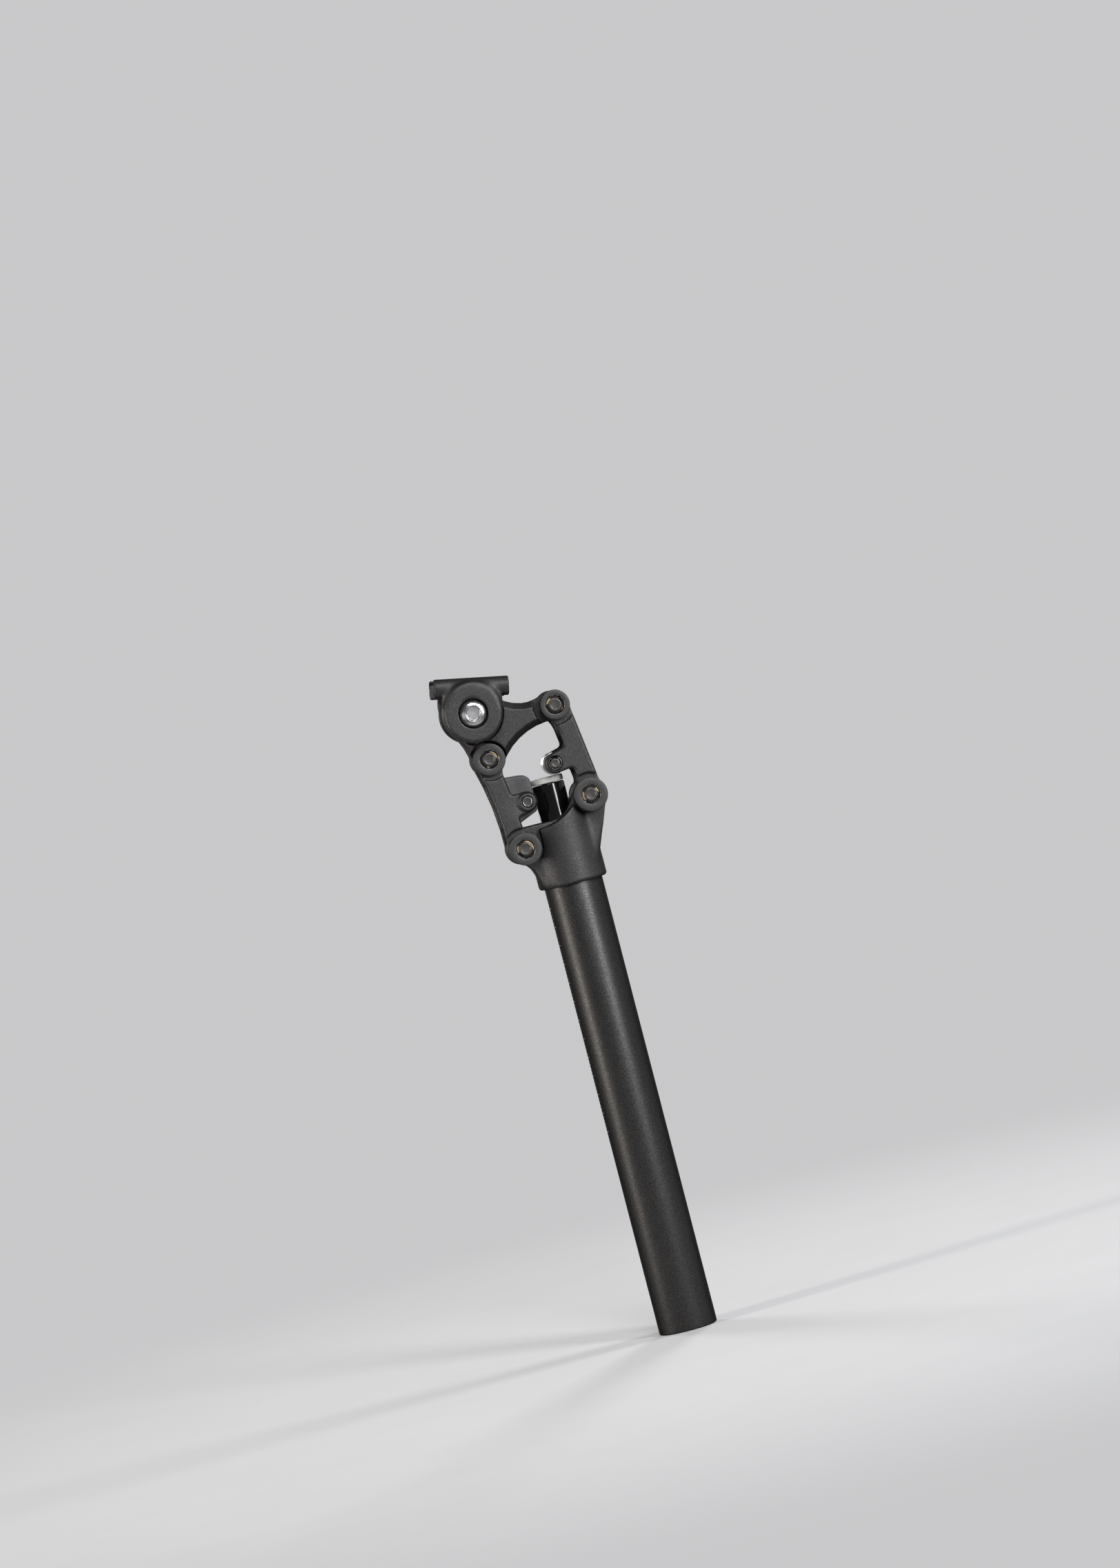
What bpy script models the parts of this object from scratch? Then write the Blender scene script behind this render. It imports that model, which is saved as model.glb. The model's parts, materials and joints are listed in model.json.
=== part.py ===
"""Suspension seatpost with a parallelogram linkage, for a 30.9 mm seat tube.

Metres, +Z up the tube's axis, +X to the front of the bicycle, +Y to its left.
The origin is the centre of the tube's lower end. Right-hand pieces lie on the -Y side.
"""
import math
from collections import namedtuple

import bmesh
import bpy
from mathutils import Matrix, Vector

# Driving dimensions, in metres and radians

# Post tube
TUBE_OD = 0.0309
TUBE_WALL = 0.0026
TUBE_BELOW_COLLAR = 0.240
TUBE_IN_COLLAR = 0.0177
TUBE_CHAMFER = 0.0006

# Linkage: lower rear pivot from the collar's lower edge, and the step to the front pivot
LINK_LENGTH = 0.050
LINK_LEAN = math.radians(7.5)
REAR_PIVOT_BACK = 0.0209
REAR_PIVOT_RISE = 0.0237
PIVOT_STEP_X = 0.040
PIVOT_STEP_Z = 0.019
CAP_RADIUS = {"lower_front": 0.0089, "lower_rear": 0.0086, "upper_front": 0.0079, "upper_rear": 0.0085}

# Pivot stack, half widths from the middle plane outwards
KNUCKLE_HALF = 0.0112
FLANGE_THICK = 0.0006
EAR_THICK = 0.0044
WEB_PROUD = 0.0012
CAP_FLOOR = 0.0008
KNUCKLE_INSET = 0.0003
AXLE_RADIUS = 0.0040
AXLE_END_RADIUS = 0.0034
AXLE_SHORT = 0.0002
AXLE_CHAMFER = 0.0003
AXLE_LIP = 0.0003
BUSH_WALL = 0.0009
BUSH_LENGTH = 0.0090
FLANGE_RADIUS = 0.0072
RING_SEAT_RADIUS = 0.0048
RING_THICK = 0.0007
RING_OUTER = 0.0045
RING_BITE = 0.0003
RING_SWEEP = math.radians(310)
CAP_CHAMFER = 0.0006

# Lower bracket
COLLAR_OD = 0.0364
COLLAR_CORNER = 0.0010
RIM_RADIUS = 0.029
RIM_RISE = 0.0316
RIM_BACK = 0.0109
SCOOP_RADIUS = 0.0135
SCOOP_RISE = 0.0343
SCOOP_BACK = 0.0040
SHELF_AHEAD = 0.0026
SHELF_CORNER = 0.0020
REAR_FILLET = 0.0082
NOSE_RISE = 0.0110
TOE_RISE = 0.0024
NOSE_IN = 0.0038
NOSE_CORNER = 0.0020
POCKET_CLEAR = 0.0015
POCKET_RISE = 0.020
POCKET_UNDERCUT = 0.0010

# Plunger, spring and preload
PLUNGER_RADIUS = 0.0085
GUIDE_WALL = 0.0009
GUIDE_RISE = 0.0155
GUIDE_FLANGE = 0.0022
FOOT_THICK = 0.0040
FOOT_SPIGOT = 0.0080
PLUNGER_CAP_THICK = 0.0031
CAP_STEM_RADIUS = 0.0030
CAP_STEM_LENGTH = 0.0050
EDGE_BREAK = 0.0004
SPRING_OD = 0.022
SPRING_WIRE = 0.0045
SPRING_TURNS = 14
SPRING_END_GAP = 0.0007
PLUG_RECESS = 0.0020
PLUG_THICK = 0.010
PLUG_HEX = 0.008
PLUG_HEX_DEPTH = 0.006
SEAT_THICK = 0.0030
SEAT_BOSS_LENGTH = 0.0050
BORE_RUN = 0.0004
SPIGOT_CLEAR = 0.0012

# Front link, offsets from its lower pivot along and across the link
FRONT_EDGE = 0.0071
FRONT_INNER = 0.0030
ROLLER_PIN_RISE = 0.02184
ROLLER_PIN_BACK = 0.01114
ROLLER_RADIUS = 0.0058
ROLLER_HALF = 0.0090
ROLLER_PIN_RADIUS = 0.0025
ARM_RADIUS = 0.0053
ARM_UP = 0.0062
ARM_DOWN = 0.0054
ARM_FILLET_TOP = 0.0020
ARM_FILLET_LOW = 0.0015
ARM_PAD_RADIUS = 0.0044
CLIP_SEAT_RADIUS = 0.0039
CLIP_SEAT_DEPTH = 0.0015
CLIP_THICK = 0.0006
PIN_LIP = 0.0002
CLIP_OUTER = 0.0036
CLIP_BITE = 0.0004
CLIP_SWEEP = math.radians(280)
FLARE_OUT = 0.006
FLARE_UP = 0.012
FLARE_LOW = 0.004

# Rear link and its bumper
REAR_WAIST = 0.150
REAR_INNER_LOW = 0.0032
REAR_INNER_TOP = 0.0038
REAR_FLARE_LOW = 0.0020
BUMPER_PIN_RISE = 0.02226
BUMPER_PIN_AHEAD = 0.01019
BUMPER_PIN_RADIUS = 0.0026
LUG_RADIUS = 0.0055
LUG_UP = 0.0060
LUG_DOWN = 0.0057
LUG_FILLET = 0.0014
LUG_PAD_RADIUS = 0.0042
LUG_PAD_PROUD = 0.0003
BUMPER_LOW = 0.0122
BUMPER_TOP = 0.0391
BUMPER_BACK = 0.0016
BUMPER_BROW_RISE = 0.0318
BUMPER_BROW_RADIUS = 0.0045
BUMPER_TOE_RISE = 0.0173
BUMPER_TOE_RADIUS = 0.0015
BUMPER_CORNER = 0.0010
BUMPER_TO_PLUNGER = 0.0006
BUMPER_ROUND = 0.0008

# Link walls that join the two cheeks
BRIDGE_HALF = 0.0018
BRIDGE_FROM_PIVOT = 0.0145
BRIDGE_INSET = 0.0008
CHEEK_CHAMFER = 0.0010
EAR_STEP = 0.0026

# Upper head, from its rear pivot
BOLT_BACK = 0.00257
BOLT_RISE = 0.02513
DRUM_RADIUS = 0.0145
DRUM_HALF = 0.0140
DRUM_CLEAR = 0.0018
HEAD_HALF = 0.0165
HEAD_SLOPE = 0.0033
HEAD_SLOPE_START = 0.0008
HEAD_SADDLE_BEND = 0.022
HEAD_BACK_BEND = 0.030
HEAD_ARCH_BEND = 0.0345
HEAD_REAR_POCKET = 0.0012
HEAD_FRONT_POCKET = 0.0036

# Saddle clamp, along the rail and square to it from the bolt's axis
CLAMP_PITCH = math.radians(11.1)
RAIL_RADIUS = 0.0035
RAIL_FIT = 0.0001
RAIL_APART = 0.044
RAIL_RISE = 0.01385
CLAMP_LENGTH = 0.039
CLAMP_SPLIT = 0.0006
CRADLE_DISC = 0.0136
CRADLE_LOW = 0.0052
CRADLE_TOP = 0.0027
CRADLE_CORNER = 0.0010
CLAMP_DISC = 0.0152
CLAMP_DISC_RISE = 0.0020
CLAMP_NECK_PROUD = 0.0004
CLAMP_NECK_BEND = 0.0060
CLAMP_NECK_LOW = 0.0040
CLAMP_NECK_BACK = 0.0033
CLAMP_PLATE = 0.0072
CLAMP_CHAMFER = 0.0012
CLAMP_WALL = 0.0013
CLAMP_END_CHAMFER = 0.0005
BOLT_RADIUS = 0.0040
BOLT_HEAD_RADIUS = 0.00705
BOLT_HEAD_EDGE = 0.0009
BOLT_HEAD_HEIGHT = 0.0027
BOLT_RIM_RADIUS = 0.0042
BOLT_HEX = 0.006
BOLT_HEX_DEPTH = 0.0046
BOLT_SEAT_DEPTH = 0.0033
BOLT_SEAT_CLEAR = 0.00075
NUT_HEX = 0.013
NUT_THICK = 0.0044
BOLT_PAST_NUT = 0.0004

# Clearances and the fineness of curves
GAP = 0.0003
HEX_CLEAR = 0.0006
CUT_THROUGH = 0.032
CHORD_ERROR = 0.00013
SAME_POINT = 0.00002
NO_TURN = 0.000001
ROUND_SEGMENTS = 20
TUBE_SEGMENTS = 36
HIDDEN_SEGMENTS = 12
SPRING_POINTS_PER_TURN = 10

for leftover in list(bpy.data.objects):
    bpy.data.objects.remove(leftover)


# Outlines: an endless belt that runs counter-clockwise round pulleys in the XZ plane

Pulley = namedtuple("Pulley", "x z r turn")


def outside(x, z, r):
    """Rounded corner that the outline bulges over."""
    return Pulley(x, z, r, 1)


def inside(x, z, r):
    """Fillet that hollows the outline."""
    return Pulley(x, z, r, -1)


def blend(first, last, r):
    """Fillet of radius r that touches two corners in turn, on the outer side of the outline."""
    run = Vector((last.x - first.x, last.z - first.z))
    near, far = first.r + r, last.r + r
    along = (near**2 - far**2 + run.length**2) / (2 * run.length)
    across = math.sqrt(near**2 - along**2)
    way = run.normalized()
    return inside(first.x + along * way.x + across * way.y, first.z + along * way.y - across * way.x, r)


def flare(ear, edge, r, up):
    """Fillet between an ear and the upright line x = edge, above the ear for up = 1 and below it for -1."""
    x = edge + math.copysign(r, edge - ear.x)
    return inside(x, ear.z + up * math.sqrt((ear.r + r) ** 2 - (x - ear.x) ** 2), r)


def belt(pulleys):
    """Places (pulley, angle) where the belt lies, in order."""
    headings = []
    for first, last in zip(pulleys, pulleys[1:] + pulleys[:1]):
        lean = (first.turn * first.r - last.turn * last.r) / math.hypot(last.x - first.x, last.z - first.z)
        heading = math.atan2(last.z - first.z, last.x - first.x)
        headings.append(heading + math.asin(max(-1.0, min(1.0, lean))))
    places = []
    for index, pulley in enumerate(pulleys):
        sweep = pulley.turn * (headings[index] - headings[index - 1]) % math.tau
        sweep = 0.0 if sweep > math.tau - NO_TURN else sweep
        steps = max(1, math.ceil(sweep / (2 * math.acos(1 - CHORD_ERROR / pulley.r))))
        start = headings[index - 1] - pulley.turn * math.pi / 2
        places += [(pulley, start + pulley.turn * sweep * step / steps) for step in range(steps + 1)]
    spots = outline(places)
    pairs = zip(places, spots, spots[-1:] + spots[:-1])
    return [place for place, spot, before in pairs if math.dist(spot, before) > SAME_POINT]


def outline(places, inset=0.0):
    """Points (x, z) of the belt, moved inwards by inset."""
    points = []
    for pulley, angle in places:
        reach = pulley.r - pulley.turn * inset
        points.append((pulley.x + reach * math.cos(angle), pulley.z + reach * math.sin(angle)))
    return points


# Solids

def loft(loops):
    """Solid through equal loops of points, with a flat face on each end."""
    shape = bmesh.new()
    rings = [[shape.verts.new(point) for point in loop] for loop in loops]
    for low, high in zip(rings, rings[1:]):
        for index in range(len(low)):
            shape.faces.new((low[index - 1], low[index], high[index], high[index - 1]))
    shape.faces.new(rings[0])
    shape.faces.new(rings[-1])
    bmesh.ops.recalc_face_normals(shape, faces=shape.faces[:])
    return shape


def slab(pulleys, stations):
    """Plate with a belt's outline, lofted along Y through stations (y, inset)."""
    places = belt(pulleys)
    return loft([[(x, y, z) for x, z in outline(places, inset)] for y, inset in stations])


def bar(pulleys, stations):
    """Bar along X whose section, across in Y and up in Z, has a belt's outline at stations (x, inset)."""
    places = belt(pulleys)
    return loft([[(x, y, z) for y, z in outline(places, inset)] for x, inset in stations])


def prism(across_flats, start, end):
    """Hexagonal bar on the Y axis."""
    corner = across_flats / math.sqrt(3)
    angles = [math.radians(60 * side) for side in range(6)]
    return loft([[(corner * math.cos(a), y, corner * math.sin(a)) for a in angles] for y in (start, end)])


def turned(profile, segments=ROUND_SEGMENTS, sweep=math.tau):
    """Body turned about Y through (radius, height) points, with a flat end where the radius is 0."""
    shape = bmesh.new()
    whole = sweep == math.tau
    count = segments if whole else segments + 1
    angles = [sweep * index / segments for index in range(count)]
    rows = [[shape.verts.new((radius * math.cos(a), height, radius * math.sin(a))) for a in angles]
            for radius, height in profile if radius > 0]
    solid = profile[0][0] == 0
    for low, high in zip(rows, rows[1:] if solid else rows[1:] + rows[:1]):
        for index in range(segments):
            after = (index + 1) % count
            shape.faces.new((low[index], low[after], high[after], high[index]))
    for end in (0, -1):
        if solid:
            shape.faces.new(rows[end])
        if not whole:
            shape.faces.new([row[end] for row in rows])
    bmesh.ops.recalc_face_normals(shape, faces=shape.faces[:])
    return shape


def rod(radius, start, end, segments=ROUND_SEGMENTS):
    """Plain cylinder on the Y axis."""
    return turned([(0, start), (radius, start), (radius, end), (0, end)], segments)


def upright(shape):
    """Turn a shape made about Y so that it stands on Z."""
    bmesh.ops.transform(shape, matrix=Matrix.Rotation(math.pi / 2, 4, "X"), verts=shape.verts[:])
    return shape


def lengthwise(shape):
    """Turn a shape made about Y so that it lies along X."""
    bmesh.ops.transform(shape, matrix=Matrix.Rotation(-math.pi / 2, 4, "Z"), verts=shape.verts[:])
    return shape


def at(shape, x=0.0, y=0.0, z=0.0):
    """Move a shape."""
    bmesh.ops.translate(shape, vec=(x, y, z), verts=shape.verts[:])
    return shape


# Objects, each in its moving body's frame

def finish(name, colour, roughness, metallic):
    """Principled material."""
    material = bpy.data.materials.new(name)
    material.use_nodes = True
    shader = material.node_tree.nodes["Principled BSDF"]
    shader.inputs["Base Color"].default_value = (*colour, 1.0)
    shader.inputs["Roughness"].default_value = roughness
    shader.inputs["Metallic"].default_value = metallic
    return material


def frame(name, x, z, lean=0.0, parent=None):
    """Empty on a joint's axis, which carries the pieces that move there."""
    empty = bpy.data.objects.new(name, None)
    bpy.context.collection.objects.link(empty)
    empty.location = (x, 0.0, z)
    empty.rotation_euler.y = lean
    empty.parent = parent
    return empty


def add(name, shape, carrier, material):
    """Object from a shape, shaded smooth, carried by an empty."""
    mesh = bpy.data.meshes.new(name)
    shape.to_mesh(mesh)
    shape.free()
    mesh.materials.append(material)
    mesh.shade_smooth()
    mesh.set_sharp_from_angle(angle=math.radians(30))
    piece = bpy.data.objects.new(name, mesh)
    bpy.context.collection.objects.link(piece)
    piece.parent = carrier
    return piece


def shape_with(piece, operation, shapes):
    """Boolean between a piece and shapes that lie apart from each other, in the piece's own frame."""
    together = bmesh.new()
    for shape in shapes:
        scratch = bpy.data.meshes.new("scratch")
        shape.to_mesh(scratch)
        shape.free()
        together.from_mesh(scratch)
        bpy.data.meshes.remove(scratch)
    number = len(piece.modifiers) + 1
    operand = add(f"operand_{piece.name}_{number}", together, piece.parent, piece.data.materials[0])
    operand.hide_render = True
    operand.display_type = "WIRE"
    step = piece.modifiers.new(f"{operation.lower()} {number}", "BOOLEAN")
    step.operation = operation
    step.object = operand


def cut(piece, *shapes):
    shape_with(piece, "DIFFERENCE", shapes)


def weld(piece, *shapes):
    shape_with(piece, "UNION", shapes)


SIDES = {"right": -1, "left": 1}

cast_black = finish("cast_black", (0.035, 0.035, 0.037), 0.62, 0.0)
tube_black = finish("tube_black", (0.030, 0.030, 0.031), 0.38, 0.6)
gloss_black = finish("gloss_black", (0.012, 0.012, 0.013), 0.12, 0.0)
white_plastic = finish("white_plastic", (0.78, 0.77, 0.73), 0.42, 0.0)
bright_steel = finish("bright_steel", (0.72, 0.72, 0.73), 0.22, 1.0)
dark_steel = finish("dark_steel", (0.30, 0.29, 0.28), 0.35, 1.0)
ring_steel = finish("ring_steel", (0.42, 0.37, 0.30), 0.28, 1.0)
rubber = finish("rubber", (0.075, 0.075, 0.080), 0.55, 0.0)
bronze = finish("bronze", (0.43, 0.32, 0.17), 0.40, 1.0)
spring_steel = finish("spring_steel", (0.25, 0.25, 0.27), 0.35, 1.0)
nylon = finish("nylon", (0.05, 0.05, 0.05), 0.5, 0.0)

# Places that follow from the driving dimensions

collar_z = TUBE_BELOW_COLLAR
tube_bore = TUBE_OD / 2 - TUBE_WALL
lower_rear = Vector((-REAR_PIVOT_BACK, collar_z + REAR_PIVOT_RISE))
lower_front = lower_rear + Vector((PIVOT_STEP_X, PIVOT_STEP_Z))
link_run = LINK_LENGTH * Vector((-math.sin(LINK_LEAN), math.cos(LINK_LEAN)))
upper_rear = lower_rear + link_run
bolt_from_rear = Vector((-BOLT_BACK, BOLT_RISE))

ear_in = KNUCKLE_HALF + FLANGE_THICK + 2 * GAP
ear_out = ear_in + EAR_THICK
web_out = ear_out + WEB_PROUD
cap_in = ear_out + GAP
ring_seat_depth = RING_THICK + 2 * GAP + AXLE_LIP + AXLE_CHAMFER + AXLE_SHORT
cap_out = cap_in + CAP_FLOOR + ring_seat_depth
axle_hole = AXLE_RADIUS + GAP
guide_hole = PLUNGER_RADIUS + GUIDE_WALL + 2 * GAP
bush_hole = axle_hole + BUSH_WALL + GAP
roller_pin_z = lower_front.y + ROLLER_PIN_RISE * math.cos(LINK_LEAN) - ROLLER_PIN_BACK * math.sin(LINK_LEAN)
plunger_cap_top = roller_pin_z - ROLLER_RADIUS - GAP
plunger_top = plunger_cap_top - PLUNGER_CAP_THICK - GAP
shoulder_z = collar_z + TUBE_IN_COLLAR + GAP
guide_bottom = shoulder_z - GAP - GUIDE_FLANGE
foot_top = guide_bottom - GAP
foot_bottom = foot_top - FOOT_THICK
plug_top = PLUG_RECESS + PLUG_THICK
seat_bottom = plug_top + GAP
seat_top = seat_bottom + SEAT_THICK
spring_coil_radius = (SPRING_OD - SPRING_WIRE) / 2
spigot_radius = spring_coil_radius - SPRING_WIRE / 2 - SPIGOT_CLEAR

post_frame = frame("post_frame", 0.0, 0.0)
front_frame = frame("front_link_frame", *lower_front, -LINK_LEAN)
rear_frame = frame("rear_link_frame", *lower_rear, -LINK_LEAN)
head_frame = frame("head_frame", *upper_rear)
clamp_frame = frame("clamp_frame", *(upper_rear + bolt_from_rear), CLAMP_PITCH)
plunger_frame = frame("plunger_frame", 0.0, plunger_cap_top)
seat_frame = frame("spring_seat_frame", 0.0, seat_bottom)
plug_frame = frame("preload_plug_frame", 0.0, PLUG_RECESS)
roller_frame = frame("roller_frame", -ROLLER_PIN_BACK, ROLLER_PIN_RISE, parent=front_frame)


# Post tube: drawn tube with a broken outer edge at its lower end

def make_post_tube():
    outer = TUBE_OD / 2
    top = collar_z + TUBE_IN_COLLAR
    add("post_tube", upright(turned([
        (tube_bore, 0), (outer - TUBE_CHAMFER, 0), (outer, TUBE_CHAMFER), (outer, top), (tube_bore, top)],
        TUBE_SEGMENTS)), post_frame, tube_black)


# Lower bracket: a collar on the tube, and a plate with the two lower knuckles and the roller's scoop

def knuckle(pivot, x, z):
    """Round end of a casting at a pivot, just inside the pivot's caps."""
    return outside(x, z, CAP_RADIUS[pivot] - KNUCKLE_INSET)


def bush_holes(*pivots):
    """Holes right through a casting for the pivots' bushes."""
    return [at(rod(bush_hole, -CUT_THROUGH, CUT_THROUGH), pivot.x, 0, pivot.z) for pivot in pivots]


def make_lower_bracket():
    collar = COLLAR_OD / 2
    front = knuckle("lower_front", *lower_front)
    rear = knuckle("lower_rear", *lower_rear)
    bracket = add("lower_bracket", upright(turned([
        (0, collar_z), (collar - COLLAR_CORNER, collar_z), (collar, collar_z + COLLAR_CORNER),
        (collar, front.z), (0, front.z)], TUBE_SEGMENTS)), post_frame, cast_black)
    rim_z = collar_z + RIM_RISE + RIM_RADIUS
    cut(bracket, at(rod(RIM_RADIUS, -CUT_THROUGH, CUT_THROUGH, TUBE_SEGMENTS), -RIM_BACK, 0, rim_z))

    pockets = []
    for side in SIDES.values():
        depth = [(side * (KNUCKLE_HALF - POCKET_UNDERCUT), 0), (side * CUT_THROUGH, 0)]
        rear_reach = CAP_RADIUS["lower_rear"] + POCKET_CLEAR
        front_reach = CAP_RADIUS["lower_front"] + POCKET_CLEAR
        pockets.append(slab([outside(rear.x, rear.z, rear_reach),
                             outside(rear.x, rear.z + POCKET_RISE, rear_reach)], depth))
        pockets.append(slab([outside(front.x, front.z, front_reach),
                             outside(front.x + POCKET_RISE, front.z, front_reach)], depth))
    cut(bracket, *pockets)

    scoop = inside(-SCOOP_BACK, collar_z + SCOOP_RISE + SCOOP_RADIUS, SCOOP_RADIUS)
    shelf = outside(rear.x + SHELF_AHEAD, scoop.z - SCOOP_RADIUS - SHELF_CORNER, SHELF_CORNER)
    back_x = -collar - REAR_FILLET
    back_drop = math.sqrt((rear.r + REAR_FILLET) ** 2 - (back_x - rear.x) ** 2)
    back = inside(back_x, rear.z - back_drop, REAR_FILLET)
    toe = outside(-collar + NOSE_IN, collar_z + TOE_RISE, NOSE_CORNER)
    nose = outside(collar - NOSE_IN, collar_z + NOSE_RISE, NOSE_CORNER)
    weld(bracket, slab([nose, front, scoop, shelf, rear, back, toe], [(-KNUCKLE_HALF, 0), (KNUCKLE_HALF, 0)]))

    tube_hole = TUBE_OD / 2 + GAP
    under, over = collar_z - CUT_THROUGH, front.z + CUT_THROUGH
    cut(bracket, upright(turned([
        (0, under), (tube_hole, under), (tube_hole, shoulder_z), (guide_hole, shoulder_z), (guide_hole, over),
        (0, over)], TUBE_SEGMENTS)))
    cut(bracket, *bush_holes(front, rear))


# Plunger train: guide bush, plunger with its cap, coil spring, spring seat and preload plug

def make_plunger_train():
    guide_bore = PLUNGER_RADIUS + GAP
    guide_outer = guide_bore + GUIDE_WALL
    flange = tube_bore - BORE_RUN
    add("guide_bush", upright(turned([
        (guide_bore, guide_bottom), (flange, guide_bottom), (flange, guide_bottom + GUIDE_FLANGE),
        (guide_outer, guide_bottom + GUIDE_FLANGE), (guide_outer, shoulder_z + GUIDE_RISE),
        (guide_bore, shoulder_z + GUIDE_RISE)])), post_frame, nylon)

    socket = CAP_STEM_RADIUS + GAP
    socket_floor = plunger_top - CAP_STEM_LENGTH - GAP
    profile = [(0, foot_bottom - FOOT_SPIGOT), (spigot_radius, foot_bottom - FOOT_SPIGOT),
               (spigot_radius, foot_bottom), (flange, foot_bottom), (flange, foot_top),
               (PLUNGER_RADIUS, foot_top), (PLUNGER_RADIUS, plunger_top - EDGE_BREAK),
               (PLUNGER_RADIUS - EDGE_BREAK, plunger_top), (socket, plunger_top), (socket, socket_floor),
               (0, socket_floor)]
    add("plunger", at(upright(turned(profile)), z=-plunger_cap_top), plunger_frame, gloss_black)

    underside = -PLUNGER_CAP_THICK
    profile = [(0, underside - CAP_STEM_LENGTH), (CAP_STEM_RADIUS, underside - CAP_STEM_LENGTH),
               (CAP_STEM_RADIUS, underside), (PLUNGER_RADIUS, underside), (PLUNGER_RADIUS, -EDGE_BREAK),
               (PLUNGER_RADIUS - EDGE_BREAK, 0), (0, 0)]
    add("plunger_cap", upright(turned(profile)), plunger_frame, white_plastic)

    profile = [(0, 0), (flange, 0), (flange, SEAT_THICK), (spigot_radius, SEAT_THICK),
               (spigot_radius, SEAT_THICK + SEAT_BOSS_LENGTH), (0, SEAT_THICK + SEAT_BOSS_LENGTH)]
    add("spring_seat", upright(turned(profile)), seat_frame, dark_steel)

    plug = add("preload_plug", upright(rod(flange, 0, PLUG_THICK)), plug_frame, nylon)
    cut(plug, upright(prism(PLUG_HEX, -PLUG_THICK, PLUG_HEX_DEPTH)))


def spring_height(turn, low, high):
    """Height of the wire's centre: a closed turn at each end and an even pitch between them."""
    closed = SPRING_WIRE + SPRING_END_GAP
    pitch = (high - low - 2 * closed) / (SPRING_TURNS - 2)
    return low + closed * min(turn, 1) + pitch * min(max(turn - 1, 0), SPRING_TURNS - 2) + closed * max(
        turn - SPRING_TURNS + 1, 0)


def make_coil_spring():
    low = seat_top + GAP + SPRING_WIRE / 2
    high = foot_bottom - GAP - SPRING_WIRE / 2
    points = []
    for index in range(SPRING_TURNS * SPRING_POINTS_PER_TURN + 1):
        turn = index / SPRING_POINTS_PER_TURN
        angle = math.tau * turn
        points.append(Vector((spring_coil_radius * math.cos(angle), spring_coil_radius * math.sin(angle),
                              spring_height(turn, low, high))))
    half_turn = SPRING_POINTS_PER_TURN // 2
    least = min((points[later] - point).length for index, point in enumerate(points)
                for later in range(index + half_turn, len(points)))
    print(f"coil spring: least gap between turns {1000 * (least - SPRING_WIRE):.2f} mm")

    wire = bpy.data.curves.new("coil_spring", "CURVE")
    wire.dimensions = "3D"
    wire.bevel_depth = SPRING_WIRE / 2
    wire.bevel_resolution = 1
    wire.use_fill_caps = True
    path = wire.splines.new("POLY")
    path.points.add(len(points) - 1)
    for spot, point in zip(path.points, points):
        spot.co = (*point, 1.0)
    wire.materials.append(spring_steel)
    spring = bpy.data.objects.new("coil_spring", wire)
    bpy.context.collection.objects.link(spring)
    spring.parent = post_frame


# Links: two cheeks each, joined by a wall along one edge

def cheeks(pulleys):
    """The right and left cheek of a link, chamfered on the outside."""
    return [slab(pulleys, [(side * web_out, CHEEK_CHAMFER), (side * (web_out - CHEEK_CHAMFER), 0),
                           (side * ear_in, 0)]) for side in SIDES.values()]


def link_wall(edge):
    """Wall between the cheeks, just inside the edge x = edge."""
    x = edge - math.copysign(BRIDGE_HALF + BRIDGE_INSET, edge)
    low = BRIDGE_FROM_PIVOT
    reach = ear_in + BRIDGE_INSET
    return slab([outside(x, low, BRIDGE_HALF), outside(x, LINK_LENGTH - low, BRIDGE_HALF)],
                [(-reach, 0), (reach, 0)])


def relieve_ears(link, lower, upper, pin_x, pin_z, pin_radius, seats=()):
    """Set the ears back from the cheeks' faces for the caps, and bore the link for its axles and its pin."""
    steps = list(seats)
    for side in SIDES.values():
        for pivot, z in ((lower, 0), (upper, LINK_LENGTH)):
            steps.append(at(rod(CAP_RADIUS[pivot] + EAR_STEP, side * ear_out, side * CUT_THROUGH), z=z))
    cut(link, *steps)
    holes = [(0, 0, axle_hole), (0, LINK_LENGTH, axle_hole), (pin_x, pin_z, pin_radius + GAP)]
    cut(link, *[at(rod(radius, -CUT_THROUGH, CUT_THROUGH), x, 0, z) for x, z, radius in holes])


def make_front_link():
    low = knuckle("lower_front", 0, 0)
    high = knuckle("upper_front", 0, LINK_LENGTH)
    arm = outside(-ROLLER_PIN_BACK, ROLLER_PIN_RISE, ARM_RADIUS)
    above = inside(-FRONT_INNER - ARM_FILLET_TOP, arm.z + ARM_UP + ARM_FILLET_TOP, ARM_FILLET_TOP)
    below = inside(-FRONT_INNER - ARM_FILLET_LOW, arm.z - ARM_DOWN - ARM_FILLET_LOW, ARM_FILLET_LOW)
    near, far = cheeks([
        low, flare(low, FRONT_EDGE, FLARE_OUT, 1), flare(high, FRONT_EDGE, FLARE_OUT, -1), high,
        flare(high, -FRONT_INNER, FLARE_UP, -1), above, arm, below, flare(low, -FRONT_INNER, FLARE_LOW, 1)])
    link = add("front_link", near, front_frame, cast_black)
    weld(link, link_wall(FRONT_EDGE))
    weld(link, far)
    pads, seats = [], []
    for side in SIDES.values():
        pad = rod(ARM_PAD_RADIUS, side * (ROLLER_HALF + GAP), side * (ear_in + BRIDGE_INSET))
        pads.append(at(pad, arm.x, 0, arm.z))
        seat = rod(CLIP_SEAT_RADIUS, side * (web_out - CLIP_SEAT_DEPTH), side * CUT_THROUGH)
        seats.append(at(seat, arm.x, 0, arm.z))
    weld(link, *pads)
    relieve_ears(link, "lower_front", "upper_front", arm.x, arm.z, ROLLER_PIN_RADIUS, seats)


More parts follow.
